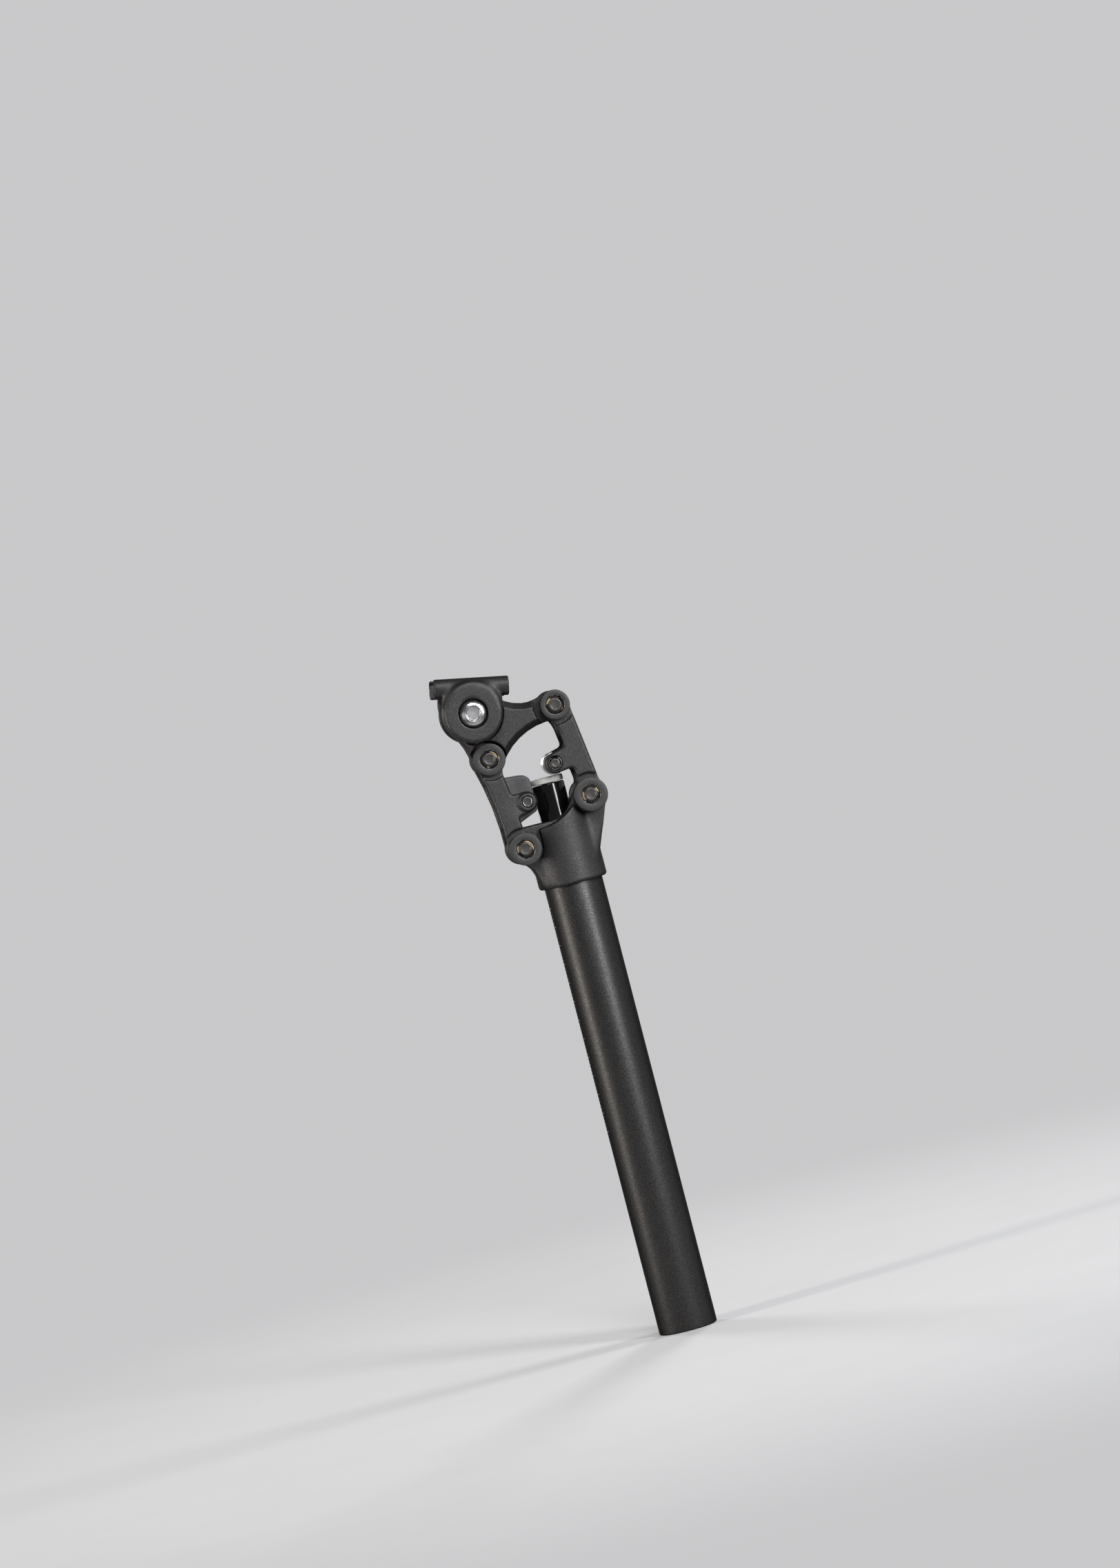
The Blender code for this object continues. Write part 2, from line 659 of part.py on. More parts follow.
def make_roller():
    bore = ROLLER_PIN_RADIUS + GAP
    edge = ROLLER_HALF - EDGE_BREAK
    add("roller", turned([
        (bore, -ROLLER_HALF), (ROLLER_RADIUS - EDGE_BREAK, -ROLLER_HALF), (ROLLER_RADIUS, -edge),
        (ROLLER_RADIUS, edge), (ROLLER_RADIUS - EDGE_BREAK, ROLLER_HALF), (bore, ROLLER_HALF)]),
        roller_frame, bright_steel)

    floor = web_out - CLIP_SEAT_DEPTH
    groove_end = floor + CLIP_THICK + 2 * GAP
    neck = ROLLER_PIN_RADIUS - CLIP_BITE - GAP
    lip_end = groove_end + PIN_LIP
    half = [(ROLLER_PIN_RADIUS, floor), (neck, floor), (neck, groove_end), (ROLLER_PIN_RADIUS, groove_end),
            (ROLLER_PIN_RADIUS, lip_end), (ROLLER_PIN_RADIUS - EDGE_BREAK, lip_end + EDGE_BREAK),
            (0, lip_end + EDGE_BREAK)]
    profile = [(radius, -height) for radius, height in reversed(half)] + half
    pin = turned(profile, HIDDEN_SEGMENTS)
    add("roller_pin", at(pin, -ROLLER_PIN_BACK, 0, ROLLER_PIN_RISE), front_frame, dark_steel)
    for word, side in SIDES.items():
        inner, outer = floor + GAP, floor + GAP + CLIP_THICK
        grip = ROLLER_PIN_RADIUS - CLIP_BITE
        clip = turned([(grip, side * inner), (CLIP_OUTER, side * inner), (CLIP_OUTER, side * outer),
                       (grip, side * outer)], HIDDEN_SEGMENTS, CLIP_SWEEP)
        add(f"roller_clip_{word}", at(clip, -ROLLER_PIN_BACK, 0, ROLLER_PIN_RISE), front_frame, dark_steel)


def make_rear_link():
    low = knuckle("lower_rear", 0, 0)
    high = knuckle("upper_rear", 0, LINK_LENGTH)
    lug = outside(BUMPER_PIN_AHEAD, BUMPER_PIN_RISE, LUG_RADIUS)
    below = inside(REAR_INNER_LOW + LUG_FILLET, lug.z - LUG_DOWN - LUG_FILLET, LUG_FILLET)
    above = inside(REAR_INNER_TOP + LUG_FILLET, lug.z + LUG_UP + LUG_FILLET, LUG_FILLET)
    near, far = cheeks([low, flare(low, REAR_INNER_LOW, REAR_FLARE_LOW, 1), below, lug, above,
                        flare(high, REAR_INNER_TOP, FLARE_OUT, -1), high, blend(high, low, REAR_WAIST)])
    waist = blend(high, low, REAR_WAIST)
    link = add("rear_link", near, rear_frame, cast_black)
    weld(link, link_wall(waist.x + waist.r))
    weld(link, far)
    weld(link, *[at(rod(LUG_PAD_RADIUS, side * (web_out - BRIDGE_INSET), side * (web_out + LUG_PAD_PROUD)),
                    lug.x, 0, lug.z) for side in SIDES.values()])
    relieve_ears(link, "lower_rear", "upper_rear", lug.x, lug.z, BUMPER_PIN_RADIUS)

    end = web_out + LUG_PAD_PROUD
    radius = BUMPER_PIN_RADIUS
    half = [(radius, end - EDGE_BREAK), (radius - EDGE_BREAK, end), (0, end)]
    pin = turned([(r, -height) for r, height in reversed(half)] + half)
    add("bumper_pin", at(pin, lug.x, 0, lug.z), rear_frame, dark_steel)


def make_bumper():
    """Rubber block between the rear link's cheeks, which meets the head's arch at full travel."""
    def reach(rise):
        """Distance ahead of the lower rear pivot's line at which the block stays clear of the plunger."""
        ahead = REAR_PIVOT_BACK - PLUNGER_RADIUS - BUMPER_TO_PLUNGER
        return (ahead + rise * math.sin(LINK_LEAN)) / math.cos(LINK_LEAN)

    back = BUMPER_CORNER - BUMPER_BACK
    toe_x = reach(BUMPER_TOE_RISE) - BUMPER_TOE_RADIUS
    brow_x = reach(BUMPER_BROW_RISE) - BUMPER_BROW_RADIUS
    half = ear_in - GAP
    block = add("bumper", slab([
        outside(back, BUMPER_LOW + BUMPER_CORNER, BUMPER_CORNER),
        outside(toe_x, BUMPER_TOE_RISE, BUMPER_TOE_RADIUS),
        outside(brow_x, BUMPER_BROW_RISE, BUMPER_BROW_RADIUS),
        outside(back, BUMPER_TOP - BUMPER_CORNER, BUMPER_CORNER)],
        [(-half, BUMPER_ROUND), (BUMPER_ROUND - half, 0), (half - BUMPER_ROUND, 0), (half, BUMPER_ROUND)]),
        rear_frame, rubber)
    pin_hole = rod(BUMPER_PIN_RADIUS + GAP, -CUT_THROUGH, CUT_THROUGH)
    cut(block, at(pin_hole, BUMPER_PIN_AHEAD, 0, BUMPER_PIN_RISE))


# Upper head: one arm with a knuckle at each end of its arch, and the drum for the saddle clamp

def make_head():
    rear = knuckle("upper_rear", 0, 0)
    front = knuckle("upper_front", PIVOT_STEP_X, PIVOT_STEP_Z)
    drum = outside(*bolt_from_rear, DRUM_RADIUS)
    flank = KNUCKLE_HALF + HEAD_SLOPE_START
    head = add("head", slab(
        [front, blend(front, drum, HEAD_SADDLE_BEND), drum, blend(drum, rear, HEAD_BACK_BEND), rear,
         blend(rear, front, HEAD_ARCH_BEND)],
        [(-HEAD_HALF, HEAD_SLOPE), (-flank, 0), (flank, 0), (HEAD_HALF, HEAD_SLOPE)]), head_frame, cast_black)
    rear_reach = CAP_RADIUS["upper_rear"] + HEAD_REAR_POCKET
    front_reach = CAP_RADIUS["upper_front"] + HEAD_FRONT_POCKET
    pockets = []
    for side in SIDES.values():
        pockets.append(rod(rear_reach, side * KNUCKLE_HALF, side * CUT_THROUGH))
        pockets.append(at(rod(front_reach, side * KNUCKLE_HALF, side * CUT_THROUGH), front.x, 0, front.z))
    cut(head, *pockets)
    beside_drum = DRUM_RADIUS + DRUM_CLEAR
    cut(head, *[at(rod(beside_drum, side * DRUM_HALF, side * CUT_THROUGH, TUBE_SEGMENTS), drum.x, 0, drum.z)
                for side in SIDES.values()])
    cut(head, at(rod(BOLT_RADIUS + GAP, -CUT_THROUGH, CUT_THROUGH), drum.x, 0, drum.z),
        *bush_holes(front, rear))


# Pivots: an axle in a link's ears, two flanged bushes in the knuckle, a cap and a snap ring on each end

def make_pivot(pivot, link, x, z, casting, casting_x, casting_z):
    """One pivot: axle, caps and rings move with the link at (x, z), and the bushes stay in the casting."""
    seat = cap_out - ring_seat_depth
    end = cap_out - AXLE_SHORT
    neck = AXLE_END_RADIUS - RING_BITE - GAP
    groove_end = seat + RING_THICK + 2 * GAP
    half = [(AXLE_RADIUS, ear_out), (AXLE_END_RADIUS, ear_out), (AXLE_END_RADIUS, seat), (neck, seat),
            (neck, groove_end), (AXLE_END_RADIUS, groove_end), (AXLE_END_RADIUS, end - AXLE_CHAMFER),
            (AXLE_END_RADIUS - AXLE_CHAMFER, end), (0, end)]
    profile = [(radius, -height) for radius, height in reversed(half)] + half
    add(f"{pivot}_axle", at(turned(profile, HIDDEN_SEGMENTS), x, 0, z), link, dark_steel)
    rim = CAP_RADIUS[pivot]
    hole = AXLE_END_RADIUS + GAP
    bush_outer = axle_hole + BUSH_WALL
    for word, side in SIDES.items():
        cap = [(hole, cap_in), (hole, seat), (RING_SEAT_RADIUS, seat), (RING_SEAT_RADIUS, cap_out),
               (rim - CAP_CHAMFER, cap_out), (rim, cap_out - CAP_CHAMFER), (rim, cap_in)]
        ring = [(neck + GAP, seat + GAP), (RING_OUTER, seat + GAP), (RING_OUTER, seat + GAP + RING_THICK),
                (neck + GAP, seat + GAP + RING_THICK)]
        flange = KNUCKLE_HALF + GAP
        bush = [(axle_hole, flange - BUSH_LENGTH), (bush_outer, flange - BUSH_LENGTH), (bush_outer, flange),
                (FLANGE_RADIUS, flange), (FLANGE_RADIUS, flange + FLANGE_THICK),
                (axle_hole, flange + FLANGE_THICK)]
        cap, ring, bush = ([(r, side * h) for r, h in profile] for profile in (cap, ring, bush))
        add(f"{pivot}_cap_{word}", at(turned(cap), x, 0, z), link, cast_black)
        add(f"{pivot}_ring_{word}", at(turned(ring, HIDDEN_SEGMENTS, RING_SWEEP), x, 0, z), link, ring_steel)
        bush = at(turned(bush, HIDDEN_SEGMENTS), casting_x, 0, casting_z)
        add(f"{pivot}_bush_{word}", bush, casting, bronze)


# Saddle clamp: an inner cradle and an outer clamp hold each rail, drawn together by one bolt

def make_saddle_clamp():
    rail_y = RAIL_APART / 2
    half_length = CLAMP_LENGTH / 2
    cradle_in, cradle_out = DRUM_HALF + GAP, rail_y - CLAMP_SPLIT / 2
    clamp_in = rail_y + CLAMP_SPLIT / 2
    clamp_out = clamp_in + CLAMP_PLATE
    wall = HEAD_HALF + GAP
    ends = [(-half_length, CLAMP_END_CHAMFER), (CLAMP_END_CHAMFER - half_length, 0),
            (half_length - CLAMP_END_CHAMFER, 0), (half_length, CLAMP_END_CHAMFER)]
    low, high = RAIL_RISE - CRADLE_LOW + CRADLE_CORNER, RAIL_RISE + CRADLE_TOP - CRADLE_CORNER
    for word, side in SIDES.items():
        disc = rod(CRADLE_DISC, side * cradle_in, side * cradle_out, TUBE_SEGMENTS)
        cradle = add(f"inner_cradle_{word}", disc, clamp_frame, cast_black)
        near, far = sorted((side * (wall + CRADLE_CORNER), side * (cradle_out - CRADLE_CORNER)))
        corners = (near, low), (far, low), (far, high), (near, high)
        weld(cradle, bar([outside(y, z, CRADLE_CORNER) for y, z in corners], ends))
        cut(cradle, *rail_and_bolt(side * rail_y))

        depths = (clamp_in, 0), (clamp_out - CLAMP_CHAMFER, 0), (clamp_out, CLAMP_CHAMFER)
        plate = slab([outside(0, 0, CLAMP_DISC), outside(0, CLAMP_DISC_RISE, CLAMP_DISC)],
                     [(side * y, inset) for y, inset in depths])
        clamp = add(f"outer_clamp_{word}", plate, clamp_frame, cast_black)
        half_neck = CLAMP_DISC + CLAMP_NECK_PROUD - CLAMP_NECK_BEND
        neck_top = RAIL_RISE - CLAMP_NECK_BEND
        corners = ((-half_neck, CLAMP_NECK_LOW), (half_neck, CLAMP_NECK_LOW), (half_neck, neck_top),
                   (-half_neck, neck_top))
        weld(clamp, slab([outside(x, z, CLAMP_NECK_BEND) for x, z in corners],
                         [(side * (clamp_in + GAP), 0), (side * (clamp_out - CLAMP_NECK_BACK), 0)]))
        weld(clamp, jaw_bar(side, rail_y, clamp_in, half_length))
        cut(clamp, *rail_and_bolt(side * rail_y))
        outwards = side * CUT_THROUGH
        if word == "right":
            cut(clamp, rod(BOLT_HEAD_RADIUS + BOLT_SEAT_CLEAR, side * (clamp_out - BOLT_SEAT_DEPTH), outwards))
        else:
            cut(clamp, prism(NUT_HEX + HEX_CLEAR, side * (clamp_out - NUT_THICK - GAP), outwards))
    make_clamp_bolt(clamp_out)


def rail_and_bolt(rail_y):
    """The room that a saddle rail and the clamp bolt take up."""
    rail = lengthwise(rod(RAIL_RADIUS + RAIL_FIT, -CLAMP_LENGTH, CLAMP_LENGTH))
    return at(rail, 0, rail_y, RAIL_RISE), rod(BOLT_RADIUS + GAP, -CUT_THROUGH, CUT_THROUGH)


def jaw_bar(side, rail_y, clamp_in, half_length):
    """Half-round jaw over the outside of a rail, with broken ends."""
    jaw = RAIL_RADIUS + RAIL_FIT + CLAMP_WALL
    chord = math.acos((clamp_in - rail_y) / jaw)
    steps = HIDDEN_SEGMENTS
    loops = []
    for x, inset in ((-half_length, CLAMP_END_CHAMFER), (CLAMP_END_CHAMFER - half_length, 0),
                     (half_length - CLAMP_END_CHAMFER, 0), (half_length, CLAMP_END_CHAMFER)):
        radius = jaw - inset
        angles = [chord * (2 * index / steps - 1) for index in range(steps + 1)]
        loops.append([(x, side * (rail_y + radius * math.cos(a)), RAIL_RISE + radius * math.sin(a))
                      for a in angles])
    return loft(loops)


def make_clamp_bolt(clamp_out):
    seat = clamp_out - BOLT_SEAT_DEPTH + GAP
    top = seat + BOLT_HEAD_HEIGHT
    end = clamp_out + BOLT_PAST_NUT
    bolt = add("clamp_bolt", turned([
        (0, end), (BOLT_RADIUS - EDGE_BREAK, end), (BOLT_RADIUS, end - EDGE_BREAK), (BOLT_RADIUS, -seat),
        (BOLT_HEAD_RADIUS, -seat), (BOLT_HEAD_RADIUS, -seat - BOLT_HEAD_EDGE), (BOLT_RIM_RADIUS, -top),
        (0, -top)]), clamp_frame, bright_steel)
    cut(bolt, prism(BOLT_HEX, BOLT_HEX_DEPTH - top, -CUT_THROUGH))
    nut = add("clamp_nut", prism(NUT_HEX, clamp_out - NUT_THICK, clamp_out), clamp_frame, bright_steel)
    cut(nut, rod(BOLT_RADIUS + GAP, 0, CUT_THROUGH))


make_post_tube()
make_lower_bracket()
make_plunger_train()
make_coil_spring()
make_front_link()
make_roller()
make_rear_link()
make_bumper()
make_head()
make_pivot("lower_front", front_frame, 0, 0, post_frame, *lower_front)
make_pivot("upper_front", front_frame, 0, LINK_LENGTH, head_frame, PIVOT_STEP_X, PIVOT_STEP_Z)
make_pivot("lower_rear", rear_frame, 0, 0, post_frame, *lower_rear)
make_pivot("upper_rear", rear_frame, 0, LINK_LENGTH, head_frame, 0, 0)
make_saddle_clamp()
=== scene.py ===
import json
import math

import bmesh
import bpy
import numpy as np
from mathutils import Matrix, Vector

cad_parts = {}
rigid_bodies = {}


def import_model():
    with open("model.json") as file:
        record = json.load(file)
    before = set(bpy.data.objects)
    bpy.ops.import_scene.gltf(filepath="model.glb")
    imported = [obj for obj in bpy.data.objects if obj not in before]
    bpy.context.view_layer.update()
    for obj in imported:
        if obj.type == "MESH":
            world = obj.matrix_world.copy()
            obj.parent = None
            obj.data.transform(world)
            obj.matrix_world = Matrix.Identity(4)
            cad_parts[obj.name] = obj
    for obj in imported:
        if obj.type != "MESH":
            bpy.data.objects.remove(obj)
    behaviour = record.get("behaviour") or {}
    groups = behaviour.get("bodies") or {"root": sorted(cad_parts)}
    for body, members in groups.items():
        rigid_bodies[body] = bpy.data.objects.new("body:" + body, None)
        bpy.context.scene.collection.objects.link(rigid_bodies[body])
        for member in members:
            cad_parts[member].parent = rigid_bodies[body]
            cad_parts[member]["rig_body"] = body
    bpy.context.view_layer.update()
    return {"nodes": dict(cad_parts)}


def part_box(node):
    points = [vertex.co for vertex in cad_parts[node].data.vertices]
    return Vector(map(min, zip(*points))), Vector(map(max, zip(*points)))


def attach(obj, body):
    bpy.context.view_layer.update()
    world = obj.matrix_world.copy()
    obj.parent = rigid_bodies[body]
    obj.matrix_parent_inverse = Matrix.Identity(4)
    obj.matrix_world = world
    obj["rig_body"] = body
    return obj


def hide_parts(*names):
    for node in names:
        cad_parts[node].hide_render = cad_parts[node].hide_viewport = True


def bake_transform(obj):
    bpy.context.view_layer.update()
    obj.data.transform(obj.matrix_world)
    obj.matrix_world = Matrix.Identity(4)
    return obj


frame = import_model()

# A suspension seatpost, dressed from its lower end upwards, in metres: +Z up the tube, +X to the front, and the
# right-hand side, which faces the camera, at -Y. Profiles and castings give their sizes in millimetres.


# Post tube: a drawn aluminium tube, bead-blasted and anodised black, pressed into the bracket's collar.
# Fine plain marks are etched up its back, where its height is read off.

class Wire:
    """A node's output that can be reckoned with: each operator adds a Math node behind it."""

    def __init__(self, socket):
        self.socket = socket

    @classmethod
    def node(cls, tree, kind, settings=None, inputs=None, output=0):
        """Any node: its settings are set first, then the values or links of its sockets."""
        made = tree.nodes.new(kind)
        for key, value in (settings or {}).items():
            setattr(made, key, value)
        for key, value in (inputs or {}).items():
            if isinstance(value, Wire):
                tree.links.new(value.socket, made.inputs[key])
            else:
                made.inputs[key].default_value = value
        return cls(made.outputs[output])

    def math(self, operation, other=0.0, swap=False):
        first, last = (other, self) if swap else (self, other)
        return Wire.node(self.socket.id_data, "ShaderNodeMath", {"operation": operation}, {0: first, 1: last})

    def __add__(self, other):
        return self.math("ADD", other)

    def __sub__(self, other):
        return self.math("SUBTRACT", other)

    def __rsub__(self, other):
        return self.math("SUBTRACT", other, True)

    def __mul__(self, other):
        return self.math("MULTIPLY", other)

    def __pow__(self, other):
        return self.math("POWER", other)

    def __gt__(self, other):
        return self.math("GREATER_THAN", other)

    __radd__, __rmul__ = __add__, __mul__

    def span(self, low, high):
        """Eased from 0 at low to 1 at high."""
        return Wire.node(self.socket.id_data, "ShaderNodeMapRange", {"interpolation_type": "SMOOTHSTEP"},
                         {"Value": self, "From Min": low, "From Max": high})


def finish(name, constants):
    """A new material with the values that are the same all over it, and its tree."""
    material = bpy.data.materials.new(name)
    material.use_nodes = True
    shader = material.node_tree.nodes["Principled BSDF"]
    for socket, value in constants.items():
        shader.inputs[socket].default_value = value
    return material, material.node_tree


def feed(material, colour=None, roughness=None, height=None, depth=0.0, metallic=None):
    """Link what varies over a material to its shader; height is a bump of that depth in metres."""
    tree = material.node_tree
    normal = None
    if height is not None:
        normal = Wire.node(tree, "ShaderNodeBump", None, {"Strength": 1.0, "Distance": depth, "Height": height})
    shader = tree.nodes["Principled BSDF"]
    for socket, wire in (("Base Color", colour), ("Roughness", roughness), ("Normal", normal),
                         ("Metallic", metallic)):
        if wire is not None:
            tree.links.new(wire.socket, shader.inputs[socket])
    return material


def place(tree, size, stretch=(1, 1, 1)):
    """The piece's own coordinates, in lumps of a size in metres."""
    own = Wire.node(tree, "ShaderNodeTexCoord", output="Object")
    return Wire.node(tree, "ShaderNodeVectorMath", {"operation": "MULTIPLY"},
                     {0: own, 1: [share / size for share in stretch]})


def grain(tree, size, detail=2.0, stretch=(1, 1, 1)):
    """Cloudy noise with lumps of a size in metres."""
    return Wire.node(tree, "ShaderNodeTexNoise", None,
                     {"Vector": place(tree, size, stretch), "Scale": 1.0, "Detail": detail})


def speck(tree, size):
    """An even chance for every crystal of a size in metres."""
    cell = Wire.node(tree, "ShaderNodeTexVoronoi", None, {"Vector": place(tree, size), "Scale": 1.0},
                     "Color")
    return Wire.node(tree, "ShaderNodeSeparateColor", None, {0: cell})


def tint(factor, first, last):
    """A colour between two colours."""
    first, last = (end if isinstance(end, Wire) else (*end, 1.0) for end in (first, last))
    return Wire.node(factor.socket.id_data, "ShaderNodeMix", {"data_type": "RGBA"},
                     {0: factor, 6: first, 7: last}, 2)


def anodised_black():
    """Blasted aluminium under a black oxide, drawn lengthwise and handled."""
    material, tree = finish("anodised_black", {
        "Metallic": 0.86, "Specular IOR Level": 0.1, "Specular Tint": (0.08, 0.08, 0.08, 1.0)})
    blast, crystal = grain(tree, 0.00042, 3.0), speck(tree, 0.00036)
    drawn = grain(tree, 0.0016, 3.0, (1, 1, 0.02))
    handled = grain(tree, 0.021, 3.0)
    glint = crystal > 0.92
    dark = tint(blast.span(0.30, 0.72), (0.026, 0.025, 0.0247), (0.064, 0.062, 0.061))
    colour = tint(glint * 0.06, dark, (0.30, 0.29, 0.285))
    roughness = 0.41 + 0.10 * (handled - 0.5) + 0.08 * (drawn - 0.5) - 0.04 * glint
    return feed(material, colour, roughness, blast + 0.4 * crystal + 0.3 * drawn, depth=0.000018)


def new_piece(name, mesh):
    """A piece of the scene, at the origin, with its place in its mesh."""
    piece = bpy.data.objects.new(name, mesh)
    bpy.context.scene.collection.objects.link(piece)
    return piece


def harden(piece, edge=35):
    """Turn what a piece's modifiers make into its plain mesh, facing outwards, sharp past an angle in degrees."""
    depsgraph = bpy.context.evaluated_depsgraph_get()
    mesh = bpy.data.meshes.new_from_object(piece.evaluated_get(depsgraph), depsgraph=depsgraph)
    piece.modifiers.clear()
    piece.data = mesh
    shape = bmesh.new()
    shape.from_mesh(mesh)
    bmesh.ops.recalc_face_normals(shape, faces=shape.faces[:])
    shape.to_mesh(mesh)
    shape.free()
    mesh.shade_smooth()
    mesh.set_sharp_from_angle(angle=math.radians(edge))
    return piece


def settle(piece, slot, *nodes):
    """The piece stands for CAD nodes and rides on their body; the slot is not used."""
    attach(piece, frame["nodes"][nodes[0]]["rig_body"])
    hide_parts(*nodes)
    return piece


def new_tree(name, inputs):
    """An empty geometry tree with named inputs, and a call that gives each of them."""
    tree = bpy.data.node_groups.new(name, "GeometryNodeTree")
    tree.interface.new_socket("Geometry", in_out="OUTPUT", socket_type="NodeSocketGeometry")
    for label, kind in inputs.items():
        tree.interface.new_socket(label, in_out="INPUT", socket_type="NodeSocket" + kind)
    return tree, lambda label: Wire.node(tree, "NodeGroupInput", output=label)


def close_tree(tree, geometry, material):
    """End a tree in Realize Instances and Set Material."""
    whole = Wire.node(tree, "GeometryNodeRealizeInstances", None, {"Geometry": geometry})
    painted = Wire.node(tree, "GeometryNodeSetMaterial", None, {"Geometry": whole, "Material": material})
    tree.links.new(painted.socket, tree.nodes.new("NodeGroupOutput").inputs[0])


def grow(piece, tree, values):
    """Run a tree on a piece, with its inputs set by their identifiers, and leave it in one material."""
    growth = piece.modifiers.new(tree.name, "NODES")
    growth.node_group = tree
    for entry in tree.interface.items_tree:
        if entry.in_out == "INPUT" and entry.name in values:
            growth[entry.identifier] = values[entry.name]
    harden(piece)
    piece.data.materials.clear()
    piece.data.materials.append(values["Finish"])
    return piece


TURNING_HUB = 0.001  # the small circle that a profile is swept round


def turning_tree():
    """A profile turned about Z, or through part of a turn, with a copy on every point that it is given."""
    tree, get = new_tree("turning", {
        "Points": "Geometry", "Profile": "Object", "Edge": "Float", "Segments": "Int", "Part": "Bool",
        "Sweep": "Float", "Finish": "Material"})
    line = Wire.node(tree, "GeometryNodeObjectInfo", None, {"Object": get("Profile")}, "Geometry")
    line = Wire.node(tree, "GeometryNodeFilletCurve", {"mode": "POLY"},
                     {"Curve": line, "Count": 3, "Radius": get("Edge"), "Limit Radius": True})
    whole = Wire.node(tree, "GeometryNodeCurvePrimitiveCircle", None,
                      {"Resolution": get("Segments"), "Radius": TURNING_HUB})
    part = Wire.node(tree, "GeometryNodeCurveArc", None,
                     {"Resolution": get("Segments"), "Radius": TURNING_HUB, "Sweep Angle": get("Sweep")})
    path = Wire.node(tree, "GeometryNodeSwitch", {"input_type": "GEOMETRY"},
                     {"Switch": get("Part"), "False": whole, "True": part})
    body = Wire.node(tree, "GeometryNodeCurveToMesh", None,
                     {"Curve": path, "Profile Curve": line, "Fill Caps": get("Part")})
    body = Wire.node(tree, "GeometryNodeMergeByDistance", None, {"Geometry": body, "Distance": 0.000002})
    spot = Wire.node(tree, "GeometryNodeInputPosition")
    x = Wire.node(tree, "ShaderNodeSeparateXYZ", None, {0: spot}, "X")
    y = Wire.node(tree, "ShaderNodeSeparateXYZ", None, {0: spot}, "Y")
    body = Wire.node(tree, "GeometryNodeStoreNamedAttribute", None,
                     {"Geometry": body, "Name": "turn", "Value": (x * x + y * y) ** 0.5})
    aim = Wire.node(tree, "GeometryNodeInputNamedAttribute", {"data_type": "FLOAT_VECTOR"}, {"Name": "aim"})
    copies = Wire.node(tree, "GeometryNodeInstanceOnPoints", None,
                       {"Points": get("Points"), "Instance": body, "Rotation": aim})
    close_tree(tree, copies, get("Finish"))
    return tree


turning = turning_tree()
UP, RIGHT, LEFT = (0.0, 0.0, 0.0), (math.pi / 2, 0.0, 0.0), (-math.pi / 2, 0.0, 0.0)


def turn(name, profile, places, material, edge=0.0003, segments=96, ring=False, sweep=None):
    """Turned piece: (radius, height) points in millimetres from pole to pole, or round a ring's section.

    Each place is (point, aim): the axis stands UP, or its height runs out to the RIGHT or the LEFT."""
    curve = bpy.data.curves.new(name + "_profile", "CURVE")
    curve.dimensions = "3D"
    line = curve.splines.new("POLY")
    line.points.add(len(profile) - 1)
    for spot, (radius, height) in zip(line.points, profile):
        spot.co = (radius / 1000 - TURNING_HUB, -height / 1000, 0.0, 1.0)
    line.use_cyclic_u = ring
    profile_piece = bpy.data.objects.new(name + "_profile", curve)
    mesh = bpy.data.meshes.new(name)
    mesh.from_pydata([tuple(point) for point, aim in places], [], [])
    aims = mesh.attributes.new("aim", "FLOAT_VECTOR", "POINT")
    aims.data.foreach_set("vector", [share for point, aim in places for share in aim])
    piece = grow(new_piece(name, mesh), turning, {
        "Profile": profile_piece, "Edge": edge, "Segments": segments, "Part": sweep is not None,
        "Sweep": sweep or math.tau, "Finish": material})
    bpy.data.objects.remove(profile_piece)
    return piece


def scale_tree():
    """Marks laid round the tube's back, one above another, with every fifth one longer."""
    tree, get = new_tree("etched_scale", {
        "Radius": "Float", "Lowest": "Float", "Step": "Float", "Count": "Int",
        "Short Arc": "Float", "Long Arc": "Float", "Line": "Float", "Proud": "Float", "Finish": "Material"})
    base = Wire.node(tree, "ShaderNodeCombineXYZ", None, {"Z": get("Lowest")})
    rise = Wire.node(tree, "ShaderNodeCombineXYZ", None, {"Z": get("Step")})
    row = Wire.node(tree, "GeometryNodeMeshLine", None,
                    {"Count": get("Count"), "Start Location": base, "Offset": rise})
    number = Wire.node(tree, "GeometryNodeInputIndex")
    longer = number.math("MODULO", 5.0).math("COMPARE", 0.0)
    section = Wire.node(tree, "GeometryNodeCurvePrimitiveQuadrilateral", None,
                        {"Width": get("Proud"), "Height": get("Line")})
    rows = Wire.node(tree, "GeometryNodeJoinGeometry")
    for arc, chosen in (("Short Arc", 1 - longer), ("Long Arc", longer)):
        path = Wire.node(tree, "GeometryNodeCurveArc", None,
                         {"Resolution": 12, "Radius": get("Radius"), "Sweep Angle": get(arc),
                          "Start Angle": math.pi - 0.5 * get(arc)})
        mark = Wire.node(tree, "GeometryNodeCurveToMesh", None,
                         {"Curve": path, "Profile Curve": section, "Fill Caps": True})
        marks = Wire.node(tree, "GeometryNodeInstanceOnPoints", None,
                          {"Points": row, "Selection": chosen, "Instance": mark})
        tree.links.new(marks.socket, rows.socket.node.inputs[0])
    close_tree(tree, rows, get("Finish"))
    return tree


def heights(node):
    """Lowest and highest of a CAD node, in millimetres."""
    return [1000 * corner.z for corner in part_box(node)]


TUBE_RADIUS, TUBE_BORE, TUBE_CHAMFER = 15.45, 12.85, 0.6
upright = [((0, 0, 0), UP)]
tube_low, tube_high = heights("post_tube")
tube = turn("tube", [
    (TUBE_BORE, tube_low), (TUBE_RADIUS - TUBE_CHAMFER, tube_low), (TUBE_RADIUS, tube_low + TUBE_CHAMFER),
    (TUBE_RADIUS, tube_high), (TUBE_BORE, tube_high)],
    upright, anodised_black(), edge=0.0002, segments=160, ring=True)
settle(tube, "tube_black", "post_tube")

